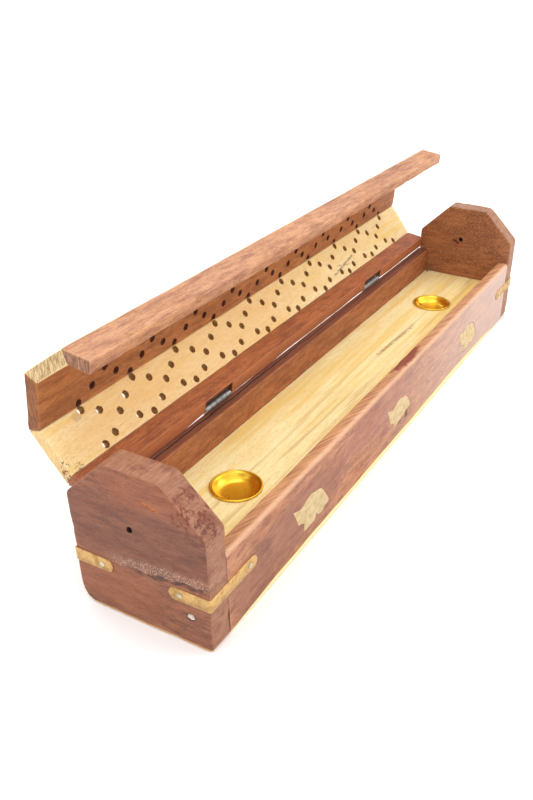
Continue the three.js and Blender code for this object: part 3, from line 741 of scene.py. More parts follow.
def end_boards():
    face = LEFT_LOW.x
    scar = (face, MIDDLE_Y - 6.8, 50.8)
    extras = [
        stain((face, MIDDLE_Y + 4, 36), 15, "68433a", 0.45, 0.0, (1, 1.8, 0.8)),
        stain((face, MIDDLE_Y + 12, 12), 12, "9c5b3c", 0.35, 0.0, (1, 1.6, 0.7)),
        stain((face, MIDDLE_Y - 4, 54), 9, "9c5a40", 0.35, 0.0, (1, 1.5, 0.6)),
        saw_marks("ad7c5f", "74402f"),
        torn_band((MIDDLE_Y + 13, 22.0), (MIDDLE_Y - 27, 26.0), 5.0, 1.8),
        stain((face + 5, MIDDLE_Y - 19, 52), 4.6, "6d281b", 0.75, 0.55, (1.2, 1, 1.4)),
        stain((face + 4, MIDDLE_Y - 24, 46.5), 4.0, "5c2a22", 0.75, 0.6),
        foot_highlight(0.9, "d9a262"),
    ]
    look = wood("left_end_wood", ROSEWOOD, 1, "Y", (0.0, 0.05, 0.03), (-34.0, -46.0), 4.2, extras)
    plug_low, plug_high = box_mm("left_filler_plug")
    plug_y, plug_z = (plug_low.y + plug_high.y) / 2, (plug_low.z + plug_high.z) / 2
    tools = [
        incense_bore(LEFT_LOW, LEFT_HIGH, LEFT_HOLE_Z, 1),
        gouge_tool(scar, (0.5, 3.6, 0.8), Matrix.Rotation(0.22, 4, "X"), GOUGE, 2),
        bore_tool((face - 2, plug_y, plug_z), (face + 1.4, plug_y, plug_z), PLUG_RADIUS, LEFT_WALL, 4, 0.3),
    ]
    corners = end_corners(LEFT_LOW, LEFT_HIGH, 7.5)
    make_board("left_end_board", corners, look, 11, 0.5, 0.2, 14, tools, 1, 0.3)

    extras = [
        stain((RIGHT_LOW.x, MIDDLE_Y - 8, 51), 9, "6d3f2d", 0.5),
        stain((RIGHT_LOW.x, MIDDLE_Y + 4, 40.5), 2.6, "8c4a2e", 0.6),
        stain((RIGHT_LOW.x, MIDDLE_Y, 40), 24, "cf8a58", 0.5, 1.3),
        saw_marks("b08468", "744636"),
    ]
    tones = dict(ROSEWOOD, light="ba7d54", dark="945c3d", deep="6c422f", warm="c07a45")
    look = wood("right_end_wood", tones, 2, "Y", (0.1, 0.04, 0.02), (-30, -60), 4.6, extras)
    groove_low = (RIGHT_LOW.x - 5, PANEL_LOW.y - 0.3, -5)
    groove_high = (RIGHT_HIGH.x + 5, PANEL_HIGH.y + 0.3, PANEL_HIGH.z + 0.3)
    chip = (RIGHT_LOW.x, INCENSE_HOLE_Y + 2.6, RIGHT_HOLE_Z - 1.6)
    tools = [
        incense_bore(RIGHT_LOW, RIGHT_HIGH, RIGHT_HOLE_Z, 6),
        gouge_tool(chip, (0.5, 2.4, 0.8), Matrix.Rotation(0.45, 4, "X"), DARK_WALL, 8),
        block_tool(groove_low, groove_high, GROOVE_WOOD),
    ]
    corners = end_corners(RIGHT_LOW, RIGHT_HIGH, 5.5)
    make_board("right_end_board", corners, look, 12, 0.45, 0.2, 14, tools, 1, 0.3)


def groove_tool():
    """The slot the storage panel slides in, through both long boards."""
    low = (BODY_LOW.x - 5, PANEL_LOW.y - 0.2, PANEL_LOW.z - 0.2)
    high = (BODY_HIGH.x + 5, PANEL_HIGH.y + 0.2, PANEL_HIGH.z + 0.2)
    return block_tool(low, high, GROOVE_WOOD)


SAPWOOD_TOP = BODY_LOW.z + 2.9
BACK_LEAN = 0.45
INLAYS = ("left_inlay", "middle_inlay", "right_inlay")
INLAY_PROUD = 0.06


def elephant_loop(node, scale):
    """Outline of a walking elephant in (x, z), trunk raised to the left, fitted to its CAD node."""
    low, high = box_mm(node)
    centre = (low + high) / 2
    size = high - low
    runs = [
        [(-0.5, 0.5), (-0.38, 0.4), (-0.3, 0.36)],
        [(-0.3, 0.36), (-0.2, 0.36), (-0.14, 0.46)],
        [(-0.14, 0.46), (0, 0.54), (0.08, 0.44)],
        [(0.08, 0.44), (0.24, 0.42), (0.3, 0.27)],
        [(0.3, 0.27), (0.4, 0.02), (0.5, -0.29)],
        [(0.5, -0.29), (0.49, -0.35), (0.46, -0.38)],
        [(0.46, -0.38), (0.42, -0.39), (0.37, -0.36)],
        [(0.37, -0.36), (0.35, -0.45), (0.31, -0.48)],
        [(0.31, -0.48), (0.26, -0.49), (0.21, -0.46)],
        [(0.21, -0.46), (0.17, -0.42), (0.13, -0.3)],
        [(0.13, -0.3), (0.12, -0.46), (0.09, -0.5)],
        [(0.09, -0.5), (-0.04, -0.49), (-0.16, -0.5)],
        [(-0.16, -0.5), (-0.21, -0.48), (-0.22, -0.4)],
        [(-0.22, -0.4), (-0.2, -0.3), (-0.21, -0.22)],
        [(-0.21, -0.22), (-0.27, -0.12), (-0.36, -0.1)],
        [(-0.36, -0.1), (-0.38, 0.06), (-0.5, 0.5)],
    ]
    points = []
    for a, b, c in (np.array(run) for run in runs):
        steps = np.linspace(0, 1, 6)[:-1, None]
        points.extend((1 - steps) ** 2 * a + 2 * steps * (1 - steps) * b + steps**2 * c)
    loop = np.array(points[::-1]) * (size.x, size.z) * scale
    ragged = np.array([noise.noise(Vector((x * 0.9, z * 0.9, size.y + centre.x))) for x, z in loop])
    loop *= 1 + 0.012 * ragged[:, None]
    return loop + (centre.x, centre.z)


def plate(loop, near_y, far_y, edge):
    """A thin plate with a loop in (x, z), between two depths in y, with softened edges."""
    rows = [(near_y, edge), (near_y + edge * 0.4, edge * 0.3), (near_y + edge, 0), (far_y, 0)]
    bm = sweep(loop, rows, 5)
    swap = Matrix(((0, 1, 0, 0), (1, 0, 0, 0), (0, 0, 1, 0), (0, 0, 0, 1)))
    bm.transform(swap)
    bmesh.ops.recalc_face_normals(bm, faces=bm.faces)
    return bm


def inlays():
    look = metal("inlay_brass", "d6c197", "b39b6c", 0.5, 0.5, 1.0, 0.03)
    for node in INLAYS:
        low, high = box_mm(node)
        bm = plate(elephant_loop(node, 1.0), low.y - INLAY_PROUD, high.y, 0.12)
        stand_in(node, bm, look)


def sapwood(s, place, color, height, fine):
    """Pale raw wood along the foot of the front board, thinning towards both ends."""
    x, _, z = s.split(place)[:3]
    ends = s.math("MINIMUM", s.minus(x, BODY_LOW.x), s.minus(BODY_HIGH.x - 6, x))
    lift = s.spread(ends, 0.0, 30.0, -2.4, 0.0)
    wander = s.spread(s.noise(s.stretch(place, (0.02, 0.2, 0.2)), 1.0), 0.3, 0.7, -0.5, 0.5)
    level = s.minus(s.minus(z, SAPWOOD_TOP), s.plus(lift, wander))
    return s.mix(s.spread(level, -0.25, 0.3, 1.0, 0.0), color, tone("f7e0a0")), height


def top_edge(s, place, color, height, fine):
    """An orange-brown top with fine slanting streaks, and a paler worn edge towards the outside."""
    x, y, z = s.split(place)[:3]
    up = s.spread(s.split(s.normal())[2], 0.35, 0.85)
    slant = s.plus(s.times(x, 0.35), y)
    lines = s.noise(s.add("CombineXYZ", {0: slant, 1: s.times(x, 0.04), 2: 0.0}).outputs[0], 1.1, 3.0, 0.7)
    top = s.mix(s.spread(lines, 0.35, 0.65), tone("cf9868"), tone("96603f"))
    color = s.mix(s.times(up, 0.75), color, top)
    outer = s.spread(s.minus(y, BODY_LOW.y), 0.5, 2.0, 1.0, 0.0)
    ridge = s.times(outer, s.spread(z, BODY_HIGH.z - 2.2, BODY_HIGH.z - 0.4))
    return s.mix(s.times(ridge, 0.6), color, tone("e2b593")), height


def fade_right(s, place, color, height, fine):
    """A chalky bloom on the outer face that grows towards the right end."""
    x = s.split(place)[0]
    outward = s.spread(s.split(s.normal())[1], -0.8, -0.4, 1.0, 0.0)
    share = s.times(s.spread(x, -60.0, 150.0, 0.0, 0.6), outward)
    return s.mix(share, color, tone("dcc6bc")), height


def front_board():
    extras = [
        stain((-92.0, BODY_LOW.y, 17), 12, "85564a", 0.5, 0.0, (2.2, 1, 0.8)),
        stain((-128.0, BODY_LOW.y, 12), 9, "6f4239", 0.45, 0.0, (1.2, 1, 1.2)),
        stain((-30.0, BODY_LOW.y, 24), 10, "9a645a", 0.4, 0.0, (3, 1, 0.7)),
        fade_right,
        top_edge,
        stain((6.0, BODY_HIGH.y - 0.8, BODY_HIGH.z), 3.4, "7d2f22", 0.9, 0.0, (3.4, 0.8, 1)),
        sapwood,
        end_grain("8a5a4a", 0.5),
    ]
    look = wood("front_board_wood", FRONT_WOOD, 3, "X", (0.0, 0.03, 0.09), (-70.0, -38.0), 6.5, extras)
    corners = board_corners(BODY_LOW, BODY_HIGH, (0.8, 0.5, 0.6, 2.0))
    # the left and middle recess cutters are inside-out and stay in the board as blocks
    recesses = []
    for node in INLAYS:
        low, high = box_mm(node)
        recesses.append(tool(plate(elephant_loop(node, 1.03), low.y - 1, high.y + 0.1, 0.02), GROOVE_WOOD))
    chips = [
        gouge_tool((-1.0, BODY_HIGH.y, BODY_HIGH.z), (5.5, 1.0, 0.7), Matrix.Identity(4), DARK_WALL, 3),
        gouge_tool((10.0, BODY_HIGH.y + 0.1, BODY_HIGH.z), (4.0, 0.9, 0.6), Matrix.Identity(4), DARK_WALL, 5),
    ]
    make_board("front_board", corners, look, 13, 0.3, 0.16, 3, [groove_tool(), *recesses, *chips], nose=0.12)


def top_shade_and_gap_shadow(s, place, color, height, fine):
    """Painted shade: the back board's top darkened to red-brown under the lid's rail, and a black painted
    shadow line near its outer edge.
    """
    x, y, _ = s.split(place)[:3]
    up = s.spread(s.split(s.normal())[2], 0.4, 0.85)
    # painted shade: up-facing faces darkened to red-brown, where the open lid's rail shades the top
    color = s.mix(s.times(up, 0.7), color, tone("6e3a2a"))
    wander = s.minus(s.bands(s.times(x, 0.06)), 0.5)
    # painted shadow: a black line along the gap between the lid's rail and the board
    line = s.absolute(s.plus(s.minus(y, BACK_HIGH.y - 1.7), s.times(wander, 2.4)))
    share = s.times(s.spread(line, 0.15, 0.5, 1.0, 0.0), up)
    share = s.times(share, s.spread(x, -60.0, 60.0, 0.95, 0.45))
    return s.mix(share, color, tone("1f100c")), s.minus(height, share)


def back_board():
    extras = [top_shade_and_gap_shadow, end_grain("7c4a33", 0.5)]
    look = wood("back_board_wood", ORANGE_WOOD, 4, "X", (0.0, 0.02, -0.04), (48.0, 66.0), 4.5, extras)
    corners = board_corners(BACK_LOW, BACK_HIGH, (0.5, 4.2, 0.1, 0.5), BACK_LEAN)
    make_board("back_board", corners, look, 14, 0.08, 0.1, 3, [groove_tool()])


def yellow_streaks(s, place, color, height, fine):
    """Long bright yellow streaks of heart grain in pale wood."""
    way = s.stretch(place, (0.008, 0.16, 0.16))
    share = s.spread(s.noise(way, 1.0, 3.0, 0.6), 0.5, 0.66, 0.0, 0.65)
    return s.mix(share, color, tone("efc765")), height


TICKS_START = 24.0
CUP_HOLE_RADIUS = 9.2


def shelf():
    def tick_marks(s, place, color, height, fine):
        """A line of short knife ticks along the middle, running up to the right cup."""
        x, y, _ = s.split(place)[:3]
        slant = s.times(s.minus(x, TICKS_START), -0.052)
        line = s.minus(s.minus(y, MIDDLE_Y - 0.2), slant)
        inside = s.times(s.spread(x, TICKS_START, TICKS_START + 4), s.spread(x, 62, 72, 1.0, 0.0))
        ticks = s.spread(s.math("SINE", s.times(s.plus(x, line), 3.4)), 0.0, 0.5)
        rough = s.spread(s.noise(place, 0.5, 2.0), 0.36, 0.55, 0.25, 1.0)
        share = s.times(s.spread(s.absolute(line), 0.6, 1.1, 1.0, 0.0), inside)
        share = s.times(s.times(share, ticks), rough)
        return s.mix(share, color, tone("8f6230")), s.minus(height, share)

    def grey_streaks(s, place, color, height, fine):
        """Long dull streaks beside the middle of the shelf, where the plane tore the grain."""
        y = s.split(place)[1]
        way = s.stretch(place, (0.012, 0.42, 0.42))
        band = s.spread(s.absolute(s.minus(y, MIDDLE_Y - 4)), 3, 11, 1.0, 0.0)
        share = s.times(s.spread(s.noise(way, 1.0, 3.0, 0.6), 0.5, 0.62, 0.0, 0.5), band)
        return s.mix(share, color, tone("c4a069")), s.minus(height, s.times(share, 0.4))

    extras = [yellow_streaks, grey_streaks, tick_marks, end_grain("caa06a", 0.4)]
    look = wood("shelf_wood", PALE, 5, "X", (0.0, 0.02, 0.015), (90.0, -60.0), 7.0, extras, 0.3, 0.08)
    corners = board_corners(SHELF_LOW, SHELF_HIGH, (0.3,) * 4)
    tools = []
    for i, node in enumerate(("left_cup", "right_cup")):
        low, high = box_mm(node)
        x, y = (low.x + high.x) / 2, (low.y + high.y) / 2
        start, end = (x, y, SHELF_LOW.z - 2), (x, y, SHELF_HIGH.z + 2)
        tools.append(bore_tool(start, end, CUP_HOLE_RADIUS, PALE_WALL, i, 0.01, 7, 48))
    make_board("incense_shelf", corners, look, 15, 0.15, 0.08, 3, tools)


def storage_panel():
    extras = [yellow_streaks, end_grain("caa06a", 0.4)]
    tones = dict(PALE, light="efd3a0", dark="dfb577")
    look = wood("panel_wood", tones, 6, "X", (0.0, 0.02, -0.03), (60.0, 70.0), 6.0, extras, 0.35, 0.08)
    corners = board_corners(PANEL_LOW, PANEL_HIGH, (0.25,) * 4)
    nick = gouge_tool((PANEL_HIGH.x - 6, MIDDLE_Y, PANEL_LOW.z), (3.4, 9.0, 0.9), Matrix.Identity(4), None, 9)
    nick.data.materials.append(look)
    make_board("storage_panel", corners, look, 16, 0.12, 0.05, 3, [nick], nose=0.3)


# ---------------------------------------------------------------- lid boards


def lid_frame(node):
    """A lid board's own axes at rest, from its CAD end face: x, u across its outer face, n into the wood."""
    points = vertices_mm(node)
    ends = points[points[:, 0] < points[:, 0].min() + 0.01]
    corners = np.unique(np.round(ends[:, 1:], 3), axis=0)
    middle = corners.mean(0)
    turns = np.arctan2(*(corners - middle).T[::-1])
    corners = corners[np.argsort(turns)]
    sides = [(np.linalg.norm(corners[(i + 1) % 4] - corners[i]), i) for i in range(4)]
    width, i = max(sides)
    ordered = [corners[(i + k) % 4] for k in range(4)]
    u = (ordered[1] - ordered[0]) / width
    n = np.array((-u[1], u[0]))
    local = [((p - ordered[0]) @ u, (p - ordered[0]) @ n) for p in ordered]
    y, z = ordered[0]
    place = Matrix(((1, 0, 0, 0), (0, u[0], n[0], y), (0, u[1], n[1], z), (0, 0, 0, 1)))
    return place, local


HOLE_PITCH = 27.2
HOLE_MIDDLE_X = -1.2
HOLE_CROSS = 6.5
HOLE_PATTERNS = 9
HOLE_RADIUS = 1.4


def hole_places(middle, half_span, low_row, rng):
    """Touching X patterns of holes as (x, u), each a little off its mark as hand drilling leaves them."""
    marks = []
    for k in range(HOLE_PATTERNS):
        centre = HOLE_MIDDLE_X + (k - (HOLE_PATTERNS - 1) / 2) * HOLE_PITCH
        marks.append((centre, 0))
        marks += [(centre + a * HOLE_CROSS, u) for a in (-1, 1) for u in (half_span / 2, -low_row)]
    for k in range(HOLE_PATTERNS + 1):
        marks += [(HOLE_MIDDLE_X + (k - HOLE_PATTERNS / 2) * HOLE_PITCH, b * half_span) for b in (-1, 1)]
    return [(x + rng.uniform(-0.45, 0.45), middle + u + rng.uniform(-0.35, 0.35)) for x, u in marks]


# share of the thickness, size and raggedness, from outside the board to where the bit broke through
DRILL_LEVELS = (
    (-0.2, 1.06, 0.02),
    (0.1, 1.0, 0.03),
    (0.8, 0.98, 0.05),
    (0.98, 1.08, 0.13),
    (1.2, 1.12, 0.14),
)
DRILL_SIDES = 22
DRILL_LEAN = (0.04, 0.42)


def drill_tool(places, thickness, look, seed):
    """All of a board's holes as one cutter, each leaning by its own amount."""
    bm = bmesh.new()
    rng = random.Random(seed + 100)
    for i, (x, u) in enumerate(places):
        lean = rng.uniform(*DRILL_LEAN)
        rows = []
        for share, size, ragged in DRILL_LEVELS:
            depth = thickness * share
            middle = x + (thickness - depth) * lean
            row = []
            for k in range(DRILL_SIDES):
                t = 2 * math.pi * k / DRILL_SIDES
                tear = noise.noise(Vector((math.cos(t) * 1.9, math.sin(t) * 1.9, seed + i * 1.7)))
                reach = HOLE_RADIUS * (size + ragged * tear)
                row.append(bm.verts.new((middle + reach * math.cos(t), u + reach * math.sin(t), depth)))
            rows.append(row)
        for first, second in zip(rows, rows[1:]):
            bridge(bm, first, second)
        bm.faces.new(rows[0])
        bm.faces.new(rows[-1])
    bmesh.ops.recalc_face_normals(bm, faces=bm.faces)
    return tool(bm, look)


RAGGED_REACH = 0.15
RAGGED_LENGTH = 3.0


def lid_board(
    node,
    look,
    seed,
    half_span=0.0,
    wall=None,
    wear=0.5,
    tools=(),
    ragged_end=0.0,
    radii=(0.5,) * 4,
    low_row=None,
    lip=0.0,
):
    """A mitred lid board, built flat with its outer face down and then stood in the open lid."""
    low, high = box_mm(node)
    place, local = lid_frame(node)
    corners = [(u, n, radius) for (u, n), radius in zip(local, radii)]
    loop = rounded_loop(corners, PITCH)
    bm = sweep(loop, stations(low.x, high.x, PITCH, NOSE), 3)
    weather(bm, corners, low.x, high.x, seed, 0.14, wear)
    if ragged_end:
        for vert in bm.verts:
            share = max(0.0, 1 - (high.x - vert.co.x) / RAGGED_LENGTH)
            tear = noise.noise(Vector((vert.co.y * 0.7, vert.co.z * 0.9, seed)))
            vert.co.x += share * min(RAGGED_REACH, ragged_end * (tear - 0.1))
        torn = [face for face in bm.faces if face.calc_center_median().x > high.x - RAGGED_LENGTH]
        bmesh.ops.triangulate(bm, faces=torn)
    if lip:
        for vert in bm.verts:
            if max(vert.co.y, vert.co.z) < 0.4:
                vert.co.z -= lip * (1 - vert.co.x / 400 + noise.noise(Vector((vert.co.x * 0.045, seed, 0))))
    piece = piece_from(node + "_fine", bm, look)
    thickness = local[2][1]
    low_row = half_span / 2 if low_row is None else low_row
    holes = hole_places(local[1][0] / 2, half_span, low_row, random.Random(seed)) if half_span else []
    cutters = list(tools)
    if holes:
        cutters.append(drill_tool(holes, thickness, wall, seed))
    if cutters:
        shape(piece, cutters)
    points = coordinates_mm(piece)
    mark(piece, "edge", edge_distances(points, corners, low.x, high.x))
    piece.data.transform(TO_METRES @ place @ TO_METRES.inverted())
    return finish_piece(piece, node)


HINGES = {name: tuple(corner.x for corner in box_mm(name + "_pin")) for name in ("left_hinge", "right_hinge")}


NOTCH_SLOPE = math.radians(28)
NOTCH_REACH = 7.0
NOTCH_HALF_HEIGHT = 1.45


def barrel_notches(place):
    """Sloping chisel cuts in from the rail's lower edge that clear the hinge barrels, in its own axes."""
    to_board = place.inverted() @ OPEN_LID
    notches = []
    for start, end in HINGES.values():
        bm = bmesh.new()
        bmesh.ops.create_cube(bm, size=1)
        size = (end - start + 1.5, NOTCH_REACH + 2, NOTCH_HALF_HEIGHT * 2)
        middle = Vector(((start + end) / 2 - 0.6, HINGE.y, HINGE.z))
        slope = Matrix.Rotation(NOTCH_SLOPE, 4, "X") @ Matrix.Translation((0, -NOTCH_REACH / 2 + 1, 0))
        bm.transform(to_board @ Matrix.Translation(middle) @ slope @ Matrix.Diagonal((*size, 1)))
        notches.append(tool(bm, NOTCH_WALL))
    return notches


def rail_foot_highlight(s, place, color, height, fine):
    """The back rail's lower edge: a painted highlight, a lighter orange strip on faces turned towards -y,
    under its dark inner face.
    """
    facing = s.spread(s.split(s.normal())[1], -0.9, -0.6, 1.0, 0.0)
    # painted highlight: lighter orange on the faces turned towards -y
    return s.mix(s.times(facing, 0.6), color, tone("b86f45")), height


def lid():
    tones = dict(ORANGE_WOOD, light="c87c50", dark="a45f3a", deep="7c4432", warm="c86f3e")
    extras = [rail_foot_highlight, end_grain("7c4a33", 0.5)]
    look = wood("back_rail_wood", tones, 7, "X", (0.0, 0.03, 0.03), (70.0, 140.0), 4.2, extras)
    place, _ = lid_frame("lid_back_rail")
    notches = barrel_notches(place)
    lid_board("lid_back_rail", look, 21, tools=notches, wear=0.08, radii=(0.12, 0.5, 0.5, 0.12), lip=0.8)

    extras = [
        yellow_streaks,
        stain((-141.0, 23.8, 42.9), 2.9, "6a3018", 1.0, 0.8, (0.7, 1, 1.7)),
        stain((-137.0, 23.4, 42.4), 1.3, "7a3a1e", 0.9, 1.5),
        stain((-126.6, 32.1, 53.5), 1.3, "bda684", 0.6, 0.0, (1.3, 1, 1)),
        scratch((52.0, 25.2, 44.8), (77.0, 27.6, 47.7), 0.7, "8d8273"),
        scratch((58.0, 27.4, 47.5), (74.0, 25.0, 44.6), 0.5, "8d7358", 0.6),
        stain((-60.0, 29.0, 49.0), 24, "eab06c", 0.35, 0.0, (2.5, 1, 1)),
        end_grain("c08f58", 0.5),
    ]
    tilt, pith = (0.0, 0.02, 0.02), (100.0, 40.0)
    look = wood("back_slope_wood", PALE_SLOPE, 8, "X", tilt, pith, 7.0, extras, 0.35, 0.1)
    lid_board("lid_back_slope", look, 22, 7.2, PALE_WALL, 0.35, low_row=5.2)

    tones = dict(ORANGE_WOOD, light="c27f4c", dark="9a5e34", deep="7b4529", warm="c4753a")
    extras = [end_grain("6a3f28", 0.8)]
    look = wood("top_board_wood", tones, 9, "X", (0.0, 0.02, -0.03), (40.0, 20.0), 4.5, extras)
    lid_board("lid_top_board", look, 23, 8.0, DARK_WALL, 0.4, ragged_end=3.0)

    extras = [end_grain("7d512c", 0.8)]
    tilt, pith = (0.0, 0.02, 0.03), (-40.0, 110.0)
    look = wood("front_slope_wood", PALE_SLOPE, 10, "X", tilt, pith, 6.0, extras, 0.35, 0.1)
    lid_board("lid_front_slope", look, 24, 7.2, PALE_WALL, 0.4, radii=(0.5, 1.3, 0.5, 0.5))

    tones = dict(FRONT_WOOD, light="d29d76", dark="b07a55", deep="855040", warm="d0915e")
    extras = [end_grain("5d3a2c", 0.8)]
    look = wood("front_rail_wood", tones, 11, "X", (0.0, 0.02, 0.05), (-60.0, 30.0), 5.5, extras)
    lid_board("lid_front_rail", look, 25, wear=0.35, radii=(0.15, 0.9, 0.9, 0.5))


# ---------------------------------------------------------------- brass and steel


ROUND_HEAD = (1.0, 0.5, 0.4)


def axis_of(node):
    """Where a nail's head and tip lie, from the two CAD vertices that are furthest apart."""
    points = vertices_mm(node)
    gaps = np.linalg.norm(points[:, None] - points[None], axis=2)
    i, j = np.unravel_index(np.argmax(gaps), gaps.shape)
    ends = [Vector(points[i]), Vector(points[j])]
    reach = [np.sort(np.linalg.norm(points - np.array(end), axis=1))[20] for end in ends]
    head, tip = (ends[0], ends[1]) if reach[0] < reach[1] else (ends[1], ends[0])
    return head, tip


def nail(node, look, head_radius, head_height, shank):
    """A domed nail standing where its CAD node stands."""
    head, tip = axis_of(node)
    length = (head - tip).length
    top = length - head_height
    profile = [(0, 0), (shank * 0.4, shank * 0.8), (shank, shank * 2.2), (shank, top)]
    profile.append((head_radius * 0.96, top))
    base, rise = top + 0.08, head_height - 0.08
    dome = np.radians((2, 20, 40, 60, 78))
    profile += [(head_radius * math.cos(t), base + rise * math.sin(t)) for t in dome]
    profile.append((0, length))
    bm = lathe(profile, 24)
    for vert in bm.verts:
        if vert.co.z > top:
            vert.co.z += 0.05 * noise.noise(vert.co * 1.8 + Vector((len(node), tip.x, 0)))
    turn = (head - tip).to_track_quat("Z", "Y").to_matrix().to_4x4()
    stand_in(node, bm, look, 40, Matrix.Translation(tip) @ turn)


STRAPS = ("front_left", "front_right", "back_left", "back_right")
STRAP_THICKNESS = 0.5
STRAP_BEND = 0.9
STRAP_TIP = 2.1
STRAP_SOFT = 0.12
STRAP_STEP = 0.7


def strap(corner, look):
    """A brass strip bent round one corner of the box, hugging the end board and the long board."""
    node = corner + "_strap"
    low, high = box_mm(node)
    side_x = 1 if "right" in corner else -1
    side_y = 1 if "back" in corner else -1
    outer_x = high.x if side_x > 0 else low.x
    outer_y = high.y if side_y > 0 else low.y
    reach_x, reach_y = high.x - low.x, high.y - low.y
    half = (high.z - low.z) / 2
    middle_z = (low.z + high.z) / 2
    straight_x = reach_x - STRAP_BEND
    straight_y = reach_y - STRAP_BEND
    curve = STRAP_BEND * math.pi / 2
    total = straight_x + curve + straight_y
    rows = []
    bm = bmesh.new()
    count = round(total / STRAP_STEP)
    for i in range(count + 1):
        s = total * i / count
        if s < straight_x:
            spot, out = Vector((-reach_x + s, 0)), Vector((0, 1))
        elif s < straight_x + curve:
            t = (s - straight_x) / STRAP_BEND
            out = Vector((math.sin(t), math.cos(t)))
            spot = Vector((-STRAP_BEND, -STRAP_BEND)) + out * STRAP_BEND
        else:
            spot, out = Vector((0, -STRAP_BEND - (s - straight_x - curve))), Vector((1, 0))
        tip = min(s, total - s)
        narrow = math.sqrt(max(0.02, 1 - max(0.0, 1 - tip / STRAP_TIP) ** 2))
        width = half * narrow * (1 + 0.02 * noise.noise(Vector((s * 0.5, len(corner), 3))))
        lift = 0.05 * noise.noise(Vector((s * 0.22, side_x, side_y))) - 0.04
        outline = [(-width, -1), (-width, -0.3), (-width + STRAP_SOFT, 0), (0, 0)]
        outline += [(width - STRAP_SOFT, 0), (width, -0.3), (width, -1), (0, -1)]
        row = []
        for z, depth in outline:
            offset = lift + depth * (STRAP_THICKNESS + lift)
            x, y = spot + out * offset
            row.append(bm.verts.new((outer_x + side_x * x, outer_y + side_y * y, middle_z + z)))
        rows.append(row)
    for first, second in zip(rows, rows[1:]):
        bridge(bm, first, second)
    bm.faces.new(rows[0])
    bm.faces.new(rows[-1])
    bmesh.ops.recalc_face_normals(bm, faces=bm.faces)
    stand_in(node, bm, look, 50)


def straps():
    look = metal("strap_brass", "d2ab72", "94703f", 0.42, 0.6)
    pin_look = metal("pin_steel", "cfc6ac", "857c66", 0.36, 0.5)
    for corner in STRAPS:
        strap(corner, look)
        for part in ("side_pin", "end_pin"):
            nail(f"{corner}_{part}", pin_look, *ROUND_HEAD)


CUP_WALL = 0.5
CUP_LIP = 0.4


def cup(node):
    """A spun brass cup: a dished bowl under a rolled rim that sits on the shelf."""
    low, high = box_mm(node)
    centre = Vector(((low.x + high.x) / 2, (low.y + high.y) / 2, 0))
    rim = (high.x - low.x) / 2
    floor = low.z
    lip = high.z - CUP_LIP
    profile = [(0, floor), (5.2, floor)]
    profile += arc((5.6, floor + 1.6), 1.6, -80, -20, 6)
    profile += [(8.4, SHELF_HIGH.z - 0.5), (8.8, SHELF_HIGH.z + 0.02), (9.2, SHELF_HIGH.z + 0.05)]
    profile += arc((rim - CUP_LIP, lip), CUP_LIP, -70, 120, 9)
    profile += [(8.75, high.z - 0.25), (8.35, high.z - 0.65), (7.9, SHELF_HIGH.z - 0.75)]
    profile += [(7.0, floor + 1.3), (6.3, floor + 0.8), (5.2, floor + 0.58)]
    profile += [(2.5, floor + CUP_WALL + 0.03), (0, floor + CUP_WALL)]
    look = cup_metal(node + "_brass", tuple(centre))
    stand_in(node, lathe(profile, 72), look, 60, Matrix.Translation(centre))


KNUCKLES = 5
KNUCKLE_RADIUS = 1.3
KNUCKLE_BORE = 0.7
KNUCKLE_GAP = 0.2
HINGE_PIN_RADIUS = 0.62
LEAF_THICKNESS = 0.6
LEAF_REACH = 8.0
LEAF_FROM_AXIS = 0.9


def tube(start, end, radius):
    """A bar along the hinge axis with eased ends."""
    turns = np.linspace(0, 2 * math.pi, 33)[:-1]
    loop = np.array([(math.cos(t), math.sin(t)) for t in turns]) * radius + (HINGE.y, HINGE.z)
    return sweep(loop, [(start, 0.12), (start + 0.12, 0), (end - 0.12, 0), (end, 0.12)], 2)


def leaf_plate(start, end, near_y, low_z, high_z, fold_up):
    """The flat of a hinge leaf, rounded at the two corners away from the barrel."""
    tip, fold = 1.4, 0.1
    radii = (tip, tip, fold, fold) if fold_up else (fold, fold, tip, tip)
    spots = [(start, low_z), (end, low_z), (end, high_z), (start, high_z)]
    loop = rounded_loop([(*spot, radius) for spot, radius in zip(spots, radii)], 3.0)
    return plate(loop[::-1], near_y, near_y + LEAF_THICKNESS - 0.08, 0.04)


def hinge_leaf(name, part, look):
    """A steel leaf and its knuckles, most not joined to it, modelled lid-shut and swung with the lid."""
    node = f"{name}_{part}_leaf"
    start, end = HINGES[name][0] - 0.1, HINGES[name][1] + 0.1
    on_base = part == "base"
    if on_base:
        near, low, high = BACK_HIGH.y + BACK_LEAN, HINGE.z - LEAF_REACH, HINGE.z - LEAF_FROM_AXIS
    else:
        near, low, high = HINGE.y - 0.4, HINGE.z + LEAF_FROM_AXIS, HINGE.z + LEAF_REACH
    piece = piece_from(node + "_fine", leaf_plate(start, end, near + 0.04, low, high, on_base), look)
    pitch = (end - start) / KNUCKLES
    own, other = [], []
    for i in range(KNUCKLES):
        a, b = start + i * pitch + KNUCKLE_GAP / 2, start + (i + 1) * pitch - KNUCKLE_GAP / 2
        if (i % 2 == 0) == on_base:
            own.append(tool(tube(a, b, KNUCKLE_RADIUS), look))
        else:
            other.append(tool(tube(a - KNUCKLE_GAP, b + KNUCKLE_GAP, KNUCKLE_RADIUS + KNUCKLE_GAP), look))
    shape(piece, own, "UNION")
    shape(piece, other + [tool(tube(start - 2, end + 2, KNUCKLE_BORE), look)])
    if not on_base:
        piece.data.transform(TO_METRES @ OPEN_LID @ TO_METRES.inverted())
    finish_piece(piece, node, 40)


